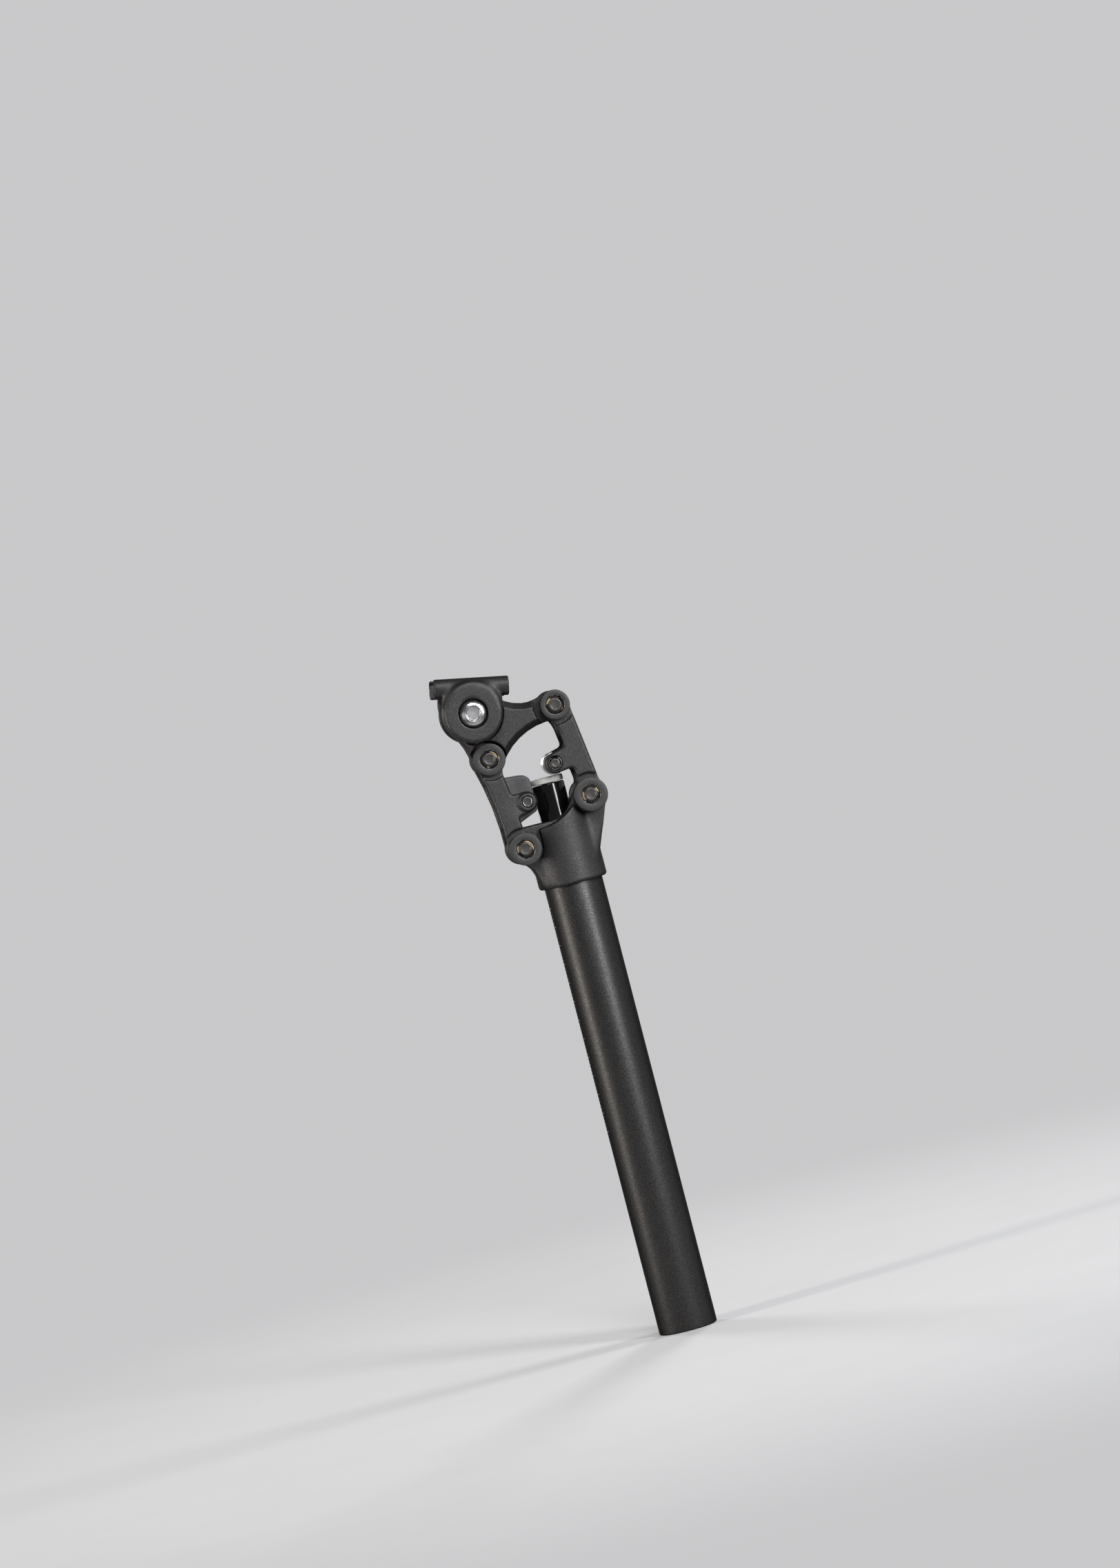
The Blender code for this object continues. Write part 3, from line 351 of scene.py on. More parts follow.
etched_grey, etched = finish("etched_grey", {"Metallic": 0.3})
feed(etched_grey, tint(grain(etched, 0.0004), (0.16, 0.16, 0.16), (0.34, 0.335, 0.33)),
     0.45 + 0.3 * grain(etched, 0.001), grain(etched, 0.0003), depth=0.00001)
marks = grow(new_piece("tube_scale", bpy.data.meshes.new("tube_scale")), scale_tree(), {
    "Radius": TUBE_RADIUS / 1000, "Lowest": 0.110, "Step": 0.002, "Count": 63, "Short Arc": 0.30,
    "Long Arc": 0.52, "Line": 0.0003, "Proud": 0.0001, "Finish": etched_grey})
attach(marks, "post")


# Lower bracket: an aluminium casting under sandy black powder coat. Its collar holds the tube, its two knuckles
# the lower pivots, and the scoop between them leaves room for the roller.

COAT_SHEEN = 0.84


def sandy_black():
    """Powder coat with a sandy grain, a few glints and a cloudy sheen."""
    material, tree = finish("sandy_black", {
        "Metallic": COAT_SHEEN, "Specular IOR Level": 0.1, "Specular Tint": (0.12, 0.12, 0.12, 1.0)})
    sand, crystal = grain(tree, 0.00038, 3.0), speck(tree, 0.00034)
    fine, cloud = grain(tree, 0.00022, 1.0), grain(tree, 0.009, 3.0)
    glint = crystal > 0.92
    colour = tint(sand.span(0.28, 0.74), (0.039, 0.038, 0.0386), (0.079, 0.077, 0.078))
    colour = tint(cloud.span(0.35, 0.75) * 0.25, colour, (0.064, 0.061, 0.0598))
    colour = tint(glint * 0.09, colour, (0.30, 0.30, 0.30))
    roughness = 0.52 + 0.14 * (cloud - 0.5) - 0.06 * glint
    return feed(material, colour, roughness, sand + 0.5 * fine + 0.3 * crystal, depth=0.000033)


EASE_LEVELS = 4


def ease(piece, name, weight, passes):
    """Smooth a piece by weights from 0 to 1 on its vertices."""
    group = piece.vertex_groups.new(name=name)
    for level in range(1, EASE_LEVELS + 1):
        chosen = np.flatnonzero(np.round(EASE_LEVELS * weight) == level)
        group.add(chosen.tolist(), level / EASE_LEVELS, "REPLACE")
    step = piece.modifiers.new(name, "SMOOTH")
    step.vertex_group = name
    step.iterations = passes


def part_of(amount, whole):
    """Share of an amount in a whole, kept from 0 to 1."""
    return np.clip(amount / whole, 0.0, 1.0)


def middle(node):
    """Centre of a CAD node's box."""
    low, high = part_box(node)
    return (low + high) / 2


# How deep a facet lies in its cylinder, and how far and how softly each easing reaches: in millimetres, or in
# shares of a reach where the name ends in SOFT.
FACET, ZONE_SOFT = 0.2, 0.35
CREASE_REACH, CREASE_SOFT, CREASE_FADE = 8.0, 0.5, 3.0
HOLLOW_REACH, HOLLOW_DEPTH, HOLLOW_ROOT = 9.0, 0.7, 3.0
SAME_SPOT, ROUND_ALL_OVER = 0.000001, 180  # metres, and the degrees past which an edge would be sharp
ACROSS_Y, ACROSS_Z = (0, 2), (0, 1)  # the columns of a point that are square to an axis


def cast(node, material, grid, passes, zones=(), bore=0.0, rounds=(), creases=(), bosses=(), channel=0.0):
    """Casting: the CAD node's shape with its edges rounded, as a mould and a coat of powder leave them.

    All in millimetres, apart from the grid of its skin in metres:
    - a zone (x, z, half width, half height, passes) is rounded further, into a wide fillet
    - a crease (x, y, low, high, passes) is an inner corner along Z, at y and -y, that is filled out as wide
    - what stands within the bore's radius of the Z axis, or nearer the middle plane than the channel, is left out
      of both
    - a round (columns, centre, radius) takes the facets out of a cylinder that is square to those columns
    - a boss (pin, radius, rise) stands proud of both outer faces round a pin, in a shallow hollow."""
    shape = bmesh.new()
    shape.from_mesh(frame["nodes"][node].data)
    bmesh.ops.remove_doubles(shape, verts=shape.verts[:], dist=SAME_SPOT)
    mesh = bpy.data.meshes.new(node + "_cast")
    shape.to_mesh(mesh)
    shape.free()
    piece = new_piece(node + "_cast", mesh)
    skin = piece.modifiers.new("skin", "REMESH")
    skin.mode = "VOXEL"
    skin.voxel_size = grid
    harden(piece, ROUND_ALL_OVER)
    spots = np.empty(3 * len(piece.data.vertices), np.float32)
    piece.data.vertices.foreach_get("co", spots)
    spots = 1000 * spots.reshape(-1, 3)
    for columns, centre, radius in rounds:
        arms = spots[:, columns] - centre
        away = np.hypot(*arms.T)
        facet = (away > radius - FACET) & (away < radius)
        spots[np.ix_(facet, columns)] = centre + arms[facet] * (radius / away[facet])[:, None]
    x, y, z = spots.T
    for pin, radius, rise in bosses:
        centre = 1000 * middle(pin)
        reach = np.hypot(x - centre.x, z - centre.z)
        hollow = HOLLOW_DEPTH * part_of(HOLLOW_REACH + radius - reach, HOLLOW_REACH) ** 2
        under_face = np.abs(y).max() - np.abs(y)
        y += np.sign(y) * np.where(reach < radius, rise, -hollow) * part_of(HOLLOW_ROOT - under_face, HOLLOW_ROOT)
    piece.data.vertices.foreach_set("co", spots.ravel() / 1000)
    free = (np.hypot(x, y) > bore) & (np.abs(y) >= channel)
    for number, (zone_x, zone_z, half_x, half_z, zone_passes) in enumerate(zones):
        reach = np.hypot((x - zone_x) / half_x, (z - zone_z) / half_z)
        ease(piece, f"zone_{number}", free * part_of(1.0 - reach, ZONE_SOFT), zone_passes)
    for number, (line_x, line_y, low, high, crease_passes) in enumerate(creases):
        reach = np.hypot(x - line_x, np.abs(y) - line_y) / CREASE_REACH
        along = part_of(np.minimum(z - low, high - z), CREASE_FADE)
        ease(piece, f"crease_{number}", free * along * part_of(1.0 - reach, CREASE_SOFT), crease_passes)
    edges = piece.modifiers.new("edges", "SMOOTH")
    edges.iterations = passes
    harden(piece, ROUND_ALL_OVER)
    piece.vertex_groups.clear()
    piece.data.materials.clear()
    piece.data.materials.append(material)
    return piece


def around(pivot, radius):
    """A round about a pivot's axle."""
    centre = 1000 * middle(pivot)
    return ACROSS_Y, (centre.x, centre.z), radius


coat = sandy_black()
COLLAR_RADIUS, KNUCKLE_HALF, BRACKET_GRID, COAT_PASSES = 18.2, 11.2, 0.00045, 4
BORE_WALL = TUBE_RADIUS + 1.3
LOWER_FRONT_KNUCKLE, LOWER_REAR_KNUCKLE = 8.6, 8.3
TOE_FILLET, NOSE_FILLET = (-18.5, 248.5, 10.0, 9.0, 45), (17.0, 256.0, 6.5, 11.0, 30)
knuckle_foot = math.sqrt(COLLAR_RADIUS ** 2 - KNUCKLE_HALF ** 2)
TOE_CREASE = (-knuckle_foot, KNUCKLE_HALF, 239.0, 257.0, 220)
NOSE_CREASE = (knuckle_foot, KNUCKLE_HALF, 245.0, 275.0, 220)
bracket_rounds = [(ACROSS_Z, (0.0, 0.0), COLLAR_RADIUS), around("lower_front_axle", LOWER_FRONT_KNUCKLE),
                  around("lower_rear_axle", LOWER_REAR_KNUCKLE)]
bracket = cast("lower_bracket", coat, BRACKET_GRID, COAT_PASSES, zones=[TOE_FILLET, NOSE_FILLET], bore=BORE_WALL,
               rounds=bracket_rounds, creases=[TOE_CREASE, NOSE_CREASE])
settle(bracket, "cast_black", "lower_bracket")


# Spring column: a nylon plug sets the preload of a steel coil spring in the tube, and the spring lifts a gloss
# black plunger through a nylon guide. The roller runs on the plunger's white plastic cap.

def dark_nylon():
    """Moulded nylon, filled and a little hazy."""
    material, tree = finish("dark_nylon", {"Specular IOR Level": 0.45})
    haze, fibre = grain(tree, 0.006, 3.0), grain(tree, 0.0005, 2.0)
    return feed(material, tint(haze, (0.030, 0.030, 0.031), (0.062, 0.061, 0.060)), 0.46 + 0.2 * (haze - 0.5),
                fibre, depth=0.00001)


def gloss_black():
    """Hard black gloss, dusty and rubbed lengthwise by the guide."""
    material, tree = finish("gloss_black", {"Specular IOR Level": 0.32})
    dust, rub = grain(tree, 0.0009, 4.0), grain(tree, 0.0007, 3.0, (1, 1, 0.03))
    worn = rub.span(0.55, 0.75)
    colour = tint(dust.span(0.62, 0.80) * 0.5, (0.0035, 0.0035, 0.0038), (0.030, 0.030, 0.031))
    return feed(material, colour, 0.11 + 0.08 * worn + 0.10 * dust.span(0.6, 0.8), rub, depth=0.000002)


def white_plastic():
    """Off-white plastic, scuffed by the roller."""
    material, tree = finish("white_plastic", {"Specular IOR Level": 0.45})
    cloud, scuff = grain(tree, 0.004, 3.0), grain(tree, 0.0012, 4.0, (1, 0.12, 1))
    colour = tint(cloud, (0.70, 0.69, 0.65), (0.86, 0.855, 0.82))
    colour = tint(scuff.span(0.60, 0.78) * 0.55, colour, (0.33, 0.32, 0.30))
    return feed(material, colour, 0.40 + 0.25 * (scuff - 0.4), cloud + scuff, depth=0.00002)


def turned_radius(tree):
    """Distance from a turned piece's own axis, as it is kept on its mesh."""
    return Wire.node(tree, "ShaderNodeAttribute", {"attribute_name": "turn"}, None, "Fac")


RINGS_IN_A_METRE, FEEDS_IN_A_METRE = 9000.0, 7000.0


def rolled_steel(name, low, high, roughness, rings=0.7, depth=0.000006):
    """Turned or drawn steel, with a tool's fine rings about its axis and along it."""
    material, tree = finish(name, {"Metallic": 1.0})
    spot = Wire.node(tree, "ShaderNodeTexCoord", output="Object")
    along = Wire.node(tree, "ShaderNodeSeparateXYZ", None, {0: spot}, "Y")
    ring = Wire.node(tree, "ShaderNodeTexNoise", {"noise_dimensions": "1D"},
                     {"W": turned_radius(tree) * RINGS_IN_A_METRE, "Scale": 1.0, "Detail": 3.0})
    feedline = Wire.node(tree, "ShaderNodeTexNoise", {"noise_dimensions": "1D"},
                         {"W": along * FEEDS_IN_A_METRE, "Scale": 1.0, "Detail": 2.0})
    groove, stain = 0.5 * (ring + feedline), grain(tree, 0.0025, 4.0)
    colour = tint(groove.span(0.25, 0.75) * rings + (1 - rings) * stain, low, high)
    return feed(material, colour, roughness + 0.18 * (stain - 0.5) + 0.10 * (groove - 0.5), groove, depth)


def spring_tree():
    """The turns from First to Last of round wire wound into a coil, closed at each end and even between them."""
    tree, get = new_tree("coil", {
        "Low": "Float", "High": "Float", "Coil Radius": "Float", "Wire Radius": "Float",
        "Turns": "Float", "End Pitch": "Float", "First": "Float", "Last": "Float", "Points": "Int",
        "Finish": "Material"})
    line = Wire.node(tree, "GeometryNodeCurvePrimitiveLine")
    line = Wire.node(tree, "GeometryNodeResampleCurve", None, {"Curve": line, "Count": get("Points")})
    share = Wire.node(tree, "GeometryNodeSplineParameter", output="Factor")
    lap = get("First") + share * (get("Last") - get("First"))
    inner_laps = get("Turns") - 2.0
    pitch = (get("High") - get("Low") - 2.0 * get("End Pitch")).math("DIVIDE", inner_laps)
    ends = lap.math("MINIMUM", 1.0) + (lap - get("Turns") + 1.0).math("MAXIMUM", 0.0)
    open_laps = (lap - 1.0).math("MAXIMUM", 0.0).math("MINIMUM", inner_laps)
    angle = lap * math.tau
    spot = Wire.node(tree, "ShaderNodeCombineXYZ", None, {
        "X": get("Coil Radius") * angle.math("COSINE"), "Y": get("Coil Radius") * angle.math("SINE"),
        "Z": get("Low") + get("End Pitch") * ends + pitch * open_laps})
    wound = Wire.node(tree, "GeometryNodeSetPosition", None, {"Geometry": line, "Position": spot})
    section = Wire.node(tree, "GeometryNodeCurvePrimitiveCircle", None,
                        {"Resolution": 16, "Radius": get("Wire Radius")})
    coil = Wire.node(tree, "GeometryNodeCurveToMesh", None,
                     {"Curve": wound, "Profile Curve": section, "Fill Caps": True})
    close_tree(tree, coil, get("Finish"))
    return tree


def cut(piece, operation, tool):
    """Boolean with a tool that is used up."""
    step = piece.modifiers.new(operation, "BOOLEAN")
    step.operation = operation
    step.object = tool
    harden(piece)
    bpy.data.objects.remove(tool)
    return piece


def hexagon(across, start, end, centre, aim, roll=0.0):
    """Hexagonal bar in millimetres, its height running as a turned piece's does."""
    corner = across / math.sqrt(3)
    shape = bmesh.new()
    rings = [[shape.verts.new((corner * math.cos(roll + math.radians(60 * side)) / 1000,
                               corner * math.sin(roll + math.radians(60 * side)) / 1000, height / 1000))
              for side in range(6)] for height in (start, end)]
    for side in range(6):
        shape.faces.new((rings[0][side - 1], rings[0][side], rings[1][side], rings[1][side - 1]))
    for ring in rings:
        shape.faces.new(ring)
    bmesh.ops.recalc_face_normals(shape, faces=shape.faces[:])
    turned = Matrix.Rotation(aim[0], 4, "X")
    bmesh.ops.transform(shape, matrix=Matrix.Translation(centre) @ turned, verts=shape.verts[:])
    mesh = bpy.data.meshes.new("hexagon")
    shape.to_mesh(mesh)
    shape.free()
    corner_radius = mesh.attributes.new("turn", "FLOAT", "POINT")
    corner_radius.data.foreach_set("value", [corner / 1000] * len(mesh.vertices))
    return new_piece("hexagon", mesh)


nylon = dark_nylon()
spring_steel = rolled_steel("spring_steel", (0.16, 0.16, 0.17), (0.34, 0.34, 0.36), roughness=0.34)
dark_steel = rolled_steel("dark_steel", (0.045, 0.0425, 0.041), (0.190, 0.181, 0.175), roughness=0.33, rings=0.75,
                          depth=0.000012)
PLUG_RADIUS, SPIGOT_RADIUS = 12.45, 5.3
PLUG_HEX, PLUG_HEX_DEPTH, OVERCUT = 8.0, 6.0, 2.0

plug_low, plug_high = heights("preload_plug")
plug = turn("plug", [(0, plug_low), (PLUG_RADIUS, plug_low), (PLUG_RADIUS, plug_high), (0, plug_high)],
            upright, nylon)
cut(plug, "DIFFERENCE", hexagon(PLUG_HEX, plug_low - OVERCUT, plug_low + PLUG_HEX_DEPTH, (0, 0, 0), UP))
settle(plug, "nylon", "preload_plug")

seat_low, seat_high = heights("spring_seat")
seat_top = seat_low + 3.0
seat = turn("spring_foot", [
    (0, seat_low), (PLUG_RADIUS, seat_low), (PLUG_RADIUS, seat_top), (SPIGOT_RADIUS, seat_top),
    (SPIGOT_RADIUS, seat_high), (0, seat_high)], upright, dark_steel)
settle(seat, "dark_steel", "spring_seat")

COIL_RADIUS, WIRE_RADIUS, SPRING_TURNS, END_PITCH = 0.00875, 0.00225, 14, 0.0052
STILL_TURN, POINTS_IN_A_TURN = 3, 28
spring_low, spring_high = (corner.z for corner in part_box("coil_spring"))
spring_pitch = (spring_high - spring_low - 2 * WIRE_RADIUS - 2 * END_PITCH) / (SPRING_TURNS - 2)
still = spring_low + WIRE_RADIUS + END_PITCH + (STILL_TURN - 1) * spring_pitch
coiling = spring_tree()
for name, first, last, lower, upper, start, end in (
        ("spring_foot_turns", 0, STILL_TURN, "spring_seat", "post",
         spring_low + 2 * END_PITCH, still - WIRE_RADIUS),
        ("spring_turns", STILL_TURN, SPRING_TURNS, "post", "plunger",
         still + WIRE_RADIUS, spring_high - 2 * END_PITCH)):
    spring = grow(new_piece(name, bpy.data.meshes.new(name)), coiling, {
        "Low": spring_low + WIRE_RADIUS, "High": spring_high - WIRE_RADIUS, "Coil Radius": COIL_RADIUS,
        "Wire Radius": WIRE_RADIUS, "Turns": float(SPRING_TURNS), "End Pitch": END_PITCH, "First": float(first),
        "Last": float(last), "Points": POINTS_IN_A_TURN * (last - first) + 1, "Finish": spring_steel})
    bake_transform(spring)
    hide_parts("coil_spring")

GUIDE_BORE, GUIDE_NECK = 8.8, 9.7
guide_low, guide_high = heights("guide_bush")
guide_flange = guide_low + 2.2
guide = turn("guide", [
    (GUIDE_BORE, guide_low), (PLUG_RADIUS, guide_low), (PLUG_RADIUS, guide_flange), (GUIDE_NECK, guide_flange),
    (GUIDE_NECK, guide_high), (GUIDE_BORE, guide_high)], upright, nylon, edge=0.0002, ring=True)
settle(guide, "nylon", "guide_bush")

ROD_RADIUS, ROD_SOCKET = 8.5, 3.3
rod_low, rod_high = heights("plunger")
foot_low, foot_high, socket_floor = rod_low + 8.0, rod_low + 12.0, rod_high - 5.3
plunger = turn("plunger_rod", [
    (0, rod_low), (SPIGOT_RADIUS, rod_low), (SPIGOT_RADIUS, foot_low), (PLUG_RADIUS, foot_low),
    (PLUG_RADIUS, foot_high), (ROD_RADIUS, foot_high), (ROD_RADIUS, rod_high), (ROD_SOCKET, rod_high),
    (ROD_SOCKET, socket_floor), (0, socket_floor)], upright, gloss_black(), edge=0.0005, segments=128)
settle(plunger, "gloss_black", "plunger")

CAP_STEM = 3.0
cap_low, cap_high = heights("plunger_cap")
cap_under = cap_high - 3.1
rod_cap = turn("plunger_disc", [
    (0, cap_low), (CAP_STEM, cap_low), (CAP_STEM, cap_under), (ROD_RADIUS, cap_under), (ROD_RADIUS, cap_high),
    (0, cap_high)], upright, white_plastic(), edge=0.0006, segments=128)
settle(rod_cap, "white_plastic", "plunger_cap")


# Front and rear links: two cast cheeks each, joined by a wall, under the same sandy coat. The front link carries
# the roller on two short arms, and the rear link the rubber bumper on two lugs.

LINK_GRID, EAR_ZONE, EAR_PASSES = 0.0004, 15.0, 14
BUMPER_BOSS = ("bumper_pin", 5.0, 1.0)
for link, ears, bosses in (("front_link", ("lower_front", "upper_front"), ()),
                           ("rear_link", ("lower_rear", "upper_rear"), (BUMPER_BOSS,))):
    centres = [1000 * middle(ear + "_axle") for ear in ears]
    zones = [(centre.x, centre.z, EAR_ZONE, EAR_ZONE, EAR_PASSES) for centre in centres]
    settle(cast(link, coat, LINK_GRID, COAT_PASSES, zones=zones, bosses=bosses), "cast_black", link)


# Roller: a ground steel roller on a pin between the front link's arms, kept by a spring clip with three lobes on
# each end of the pin.

ROLLER_RADIUS, ROLLER_BORE, ROLLER_HALF = 5.8, 2.8, 9.0
ground_steel = rolled_steel("ground_steel", (0.20, 0.20, 0.205), (0.46, 0.46, 0.465), roughness=0.27, rings=0.6,
                            depth=0.000010)
roller_axis = middle("roller")
roller = turn("steel_roller", [
    (ROLLER_BORE, -ROLLER_HALF), (ROLLER_RADIUS, -ROLLER_HALF), (ROLLER_RADIUS, ROLLER_HALF),
    (ROLLER_BORE, ROLLER_HALF)], [(roller_axis, LEFT)], ground_steel, edge=0.0005, segments=128, ring=True)
settle(roller, "bright_steel", "roller")


def both_ends(end):
    """Profile of a pin whose two ends are alike."""
    return [(radius, -height) for radius, height in reversed(end)] + end


def recess(radius, height, depth=0.15):
    """Last points of a pin's profile: a shallow round recess in its end."""
    return [(radius, height), (radius - depth, height - depth), (0.0, height - depth)]


PIN_RADIUS, PIN_GROOVE, PIN_RECESS = 2.5, 1.8, 1.5
GROOVE_IN, GROOVE_OUT, PIN_HALF = 16.5, 17.7, 18.3
pin = turn("roller_axle", both_ends([
    (PIN_RADIUS, GROOVE_IN), (PIN_GROOVE, GROOVE_IN), (PIN_GROOVE, GROOVE_OUT), (PIN_RADIUS, GROOVE_OUT),
    (PIN_RADIUS, PIN_HALF), *recess(PIN_RECESS, PIN_HALF)]), [(roller_axis, LEFT)], dark_steel)
settle(pin, "dark_steel", "roller_pin")

CLIP_OUTER, CLIP_GRIP, CLIP_RELIEF, CLIP_LOBES, CLIP_EDGE = 3.6, 2.1, 2.95, 3, 0.00008
CLIP_STEPS, CLIP_SWEEP, CLIP_START = 72, math.radians(296), math.radians(112)


def clip(name):
    """Spring clip: a flat open ring with three lobes that grip the pin's groove."""
    low, high = sorted(1000 * corner.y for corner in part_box(name))
    shape = bmesh.new()
    rows = []
    for step in range(CLIP_STEPS + 1):
        share = step / CLIP_STEPS
        angle = CLIP_START + CLIP_SWEEP * share
        lobe = max(0.0, math.cos(CLIP_LOBES * math.tau * share)) ** 1.5
        inner = CLIP_RELIEF + (CLIP_GRIP - CLIP_RELIEF) * lobe
        rows.append([shape.verts.new((roller_axis.x + radius * math.cos(angle) / 1000, y / 1000,
                                      roller_axis.z + radius * math.sin(angle) / 1000))
                     for radius, y in ((inner, low), (CLIP_OUTER, low), (CLIP_OUTER, high), (inner, high))])
    for first, last in zip(rows, rows[1:]):
        for corner in range(4):
            shape.faces.new((first[corner - 1], first[corner], last[corner], last[corner - 1]))
    for row in (rows[0], rows[-1]):
        shape.faces.new(row)
    mesh = bpy.data.meshes.new(name + "_lobed")
    shape.to_mesh(mesh)
    shape.free()
    mesh.materials.append(dark_steel)
    piece = new_piece(name + "_lobed", mesh)
    edge = piece.modifiers.new("edge", "BEVEL")
    edge.width = CLIP_EDGE
    edge.segments = 2
    edge.limit_method = "ANGLE"
    return settle(harden(piece), "dark_steel", name)


for side in ("left", "right"):
    clip(f"roller_clip_{side}")


# Bumper: a block of moulded rubber that stops the head's arch at full travel. A blackened steel pin holds it
# between the rear link's lugs.

BUMPER_PASSES = 10


def moulded_rubber():
    """Dark rubber with a greyish bloom."""
    material, tree = finish("moulded_rubber", {"Specular IOR Level": 0.35, "Sheen Weight": 0.05})
    bloom, skin = grain(tree, 0.005, 4.0), grain(tree, 0.00035, 2.0)
    colour = tint(bloom.span(0.3, 0.75), (0.060, 0.059, 0.061), (0.092, 0.091, 0.094))
    return feed(material, colour, 0.52 + 0.16 * (bloom - 0.5), skin, depth=0.000012)


settle(cast("bumper", moulded_rubber(), LINK_GRID, BUMPER_PASSES), "rubber", "bumper")


def blackened_pin():
    """Blackened steel, bare on the rim of its end."""
    material, tree = finish("blackened_pin", {"Metallic": 1.0})
    bare = turned_radius(tree).span(0.00200, 0.00216)
    scale = grain(tree, 0.0006, 3.0)
    colour = tint(bare, tint(scale, (0.035, 0.034, 0.035), (0.105, 0.102, 0.104)), (0.38, 0.365, 0.345))
    return feed(material, colour, 0.46 - 0.24 * bare + 0.1 * (scale - 0.5), scale, depth=0.000008)


BUMPER_PIN_RADIUS, BUMPER_PIN_RECESS = 2.6, 2.15
bumper_pin = turn("bumper_axle", both_ends([
    (BUMPER_PIN_RADIUS, PIN_HALF), *recess(BUMPER_PIN_RECESS, PIN_HALF, 0.2)]),
    [(middle("bumper_pin"), LEFT)], blackened_pin(), edge=0.00015)
settle(bumper_pin, "dark_steel", "bumper_pin")


# Head: a cast arm under the same sandy coat, which both links carry. Its arch spans the two upper knuckles, and
# its drum seats the clamp.

DRUM_RADIUS, UPPER_FRONT_KNUCKLE, UPPER_REAR_KNUCKLE = 14.5, 7.6, 8.2
head_rounds = [around("clamp_bolt", DRUM_RADIUS), around("upper_front_axle", UPPER_FRONT_KNUCKLE),
               around("upper_rear_axle", UPPER_REAR_KNUCKLE)]
settle(cast("head", coat, LINK_GRID, COAT_PASSES, rounds=head_rounds), "cast_black", "head")


# Pivots: four dark steel axles in the links' ears, each turning in two flanged bronze bushes. On each end sits a
# coated cap, and an open snap ring in the cap's counterbore locks the axle's groove.

CAP_IN, CAP_OUT, RING_SEAT = 17.1, 20.0, 17.9
CAP_BORE, CAP_COUNTERBORE = 3.7, 4.8


def worn_cap():
    """The sandy coat, rubbed to bare metal round the edge of the counterbore."""
    material = coat.copy()
    material.name = "worn_cap"
    tree = material.node_tree
    shader = tree.nodes["Principled BSDF"]
    radius, rim = turned_radius(tree), CAP_COUNTERBORE / 1000
    edge = radius.span(rim - 0.0001, rim + 0.00005) * (1 - radius.span(rim + 0.0001, rim + 0.0004))
    bare = edge * grain(tree, 0.0011, 3.0).span(0.46, 0.60)
    paint = Wire(shader.inputs["Base Color"].links[0].from_socket)
    paint = tint(0.35 + 0.3 * grain(tree, 0.0016, 3.0), paint, (0.070, 0.068, 0.069))
    colour = tint(bare, paint, (0.62, 0.60, 0.57))
    roughness = Wire(shader.inputs["Roughness"].links[0].from_socket) - 0.28 * bare
    return feed(material, colour, roughness, metallic=COAT_SHEEN + (1 - COAT_SHEEN) * bare)


def steel_with_painted_glints():
    """Spring steel, dark all over but for straw and brown patches that are painted on as golden glints."""
    material, tree = finish("steel_with_painted_glints", {"Metallic": 1.0})
    painted_glint, scratch = grain(tree, 0.006, 1.0), grain(tree, 0.0003, 2.0)
    # Painted glints: cloudy patches of straw colour on an otherwise near-black ring.
    colour = tint(painted_glint.span(0.53, 0.64), (0.038, 0.033, 0.029), (0.50, 0.39, 0.25))
    return feed(material, colour, 0.26 + 0.15 * scratch, scratch, depth=0.000006)


def bush_bronze():
    """Sintered bronze, stained by its oil."""
    material, tree = finish("bush_bronze", {"Metallic": 1.0})
    pores, stain = grain(tree, 0.0003, 2.0), grain(tree, 0.003, 3.0)
    colour = tint(stain, (0.24, 0.16, 0.075), (0.50, 0.36, 0.19))
    return feed(material, colour, 0.36 + 0.2 * stain, pores, depth=0.000008)


def both_sides(pivot, word):
    """The two CAD nodes of a pivot's like pieces."""
    return [f"{pivot}_{word}_{side}" for side in ("right", "left")]


cap_coat, ring_steel, bronze = worn_cap(), steel_with_painted_glints(), bush_bronze()
CAP_FACET = math.radians(3)  # half the turn of one facet of a CAD cap
AXLE_RADIUS, AXLE_NECK, AXLE_GROOVE, AXLE_RECESS = 4.0, 3.4, 2.8, 2.3
AXLE_SHOULDER, AXLE_LIP, AXLE_END = 16.8, 19.2, 19.8
axle_profile = both_ends([
    (AXLE_RADIUS, AXLE_SHOULDER), (AXLE_NECK, AXLE_SHOULDER), (AXLE_NECK, RING_SEAT), (AXLE_GROOVE, RING_SEAT),
    (AXLE_GROOVE, AXLE_LIP), (AXLE_NECK, AXLE_LIP), (AXLE_NECK, AXLE_END), *recess(AXLE_RECESS, AXLE_END)])
RING_INNER, RING_OUTER, RING_IN, RING_OUT, RING_SWEEP = 3.1, 4.5, 18.2, 18.9, math.radians(310)
ring_section = [(RING_INNER, RING_IN), (RING_OUTER, RING_IN), (RING_OUTER, RING_OUT), (RING_INNER, RING_OUT)]
BUSH_BORE, BUSH_RADIUS, BUSH_FLANGE, BUSH_IN, FLANGE_IN, FLANGE_OUT = 4.3, 5.2, 7.2, 2.5, 11.5, 12.1
bush_section = [
    (BUSH_BORE, BUSH_IN), (BUSH_RADIUS, BUSH_IN), (BUSH_RADIUS, FLANGE_IN), (BUSH_FLANGE, FLANGE_IN),
    (BUSH_FLANGE, FLANGE_OUT), (BUSH_BORE, FLANGE_OUT)]
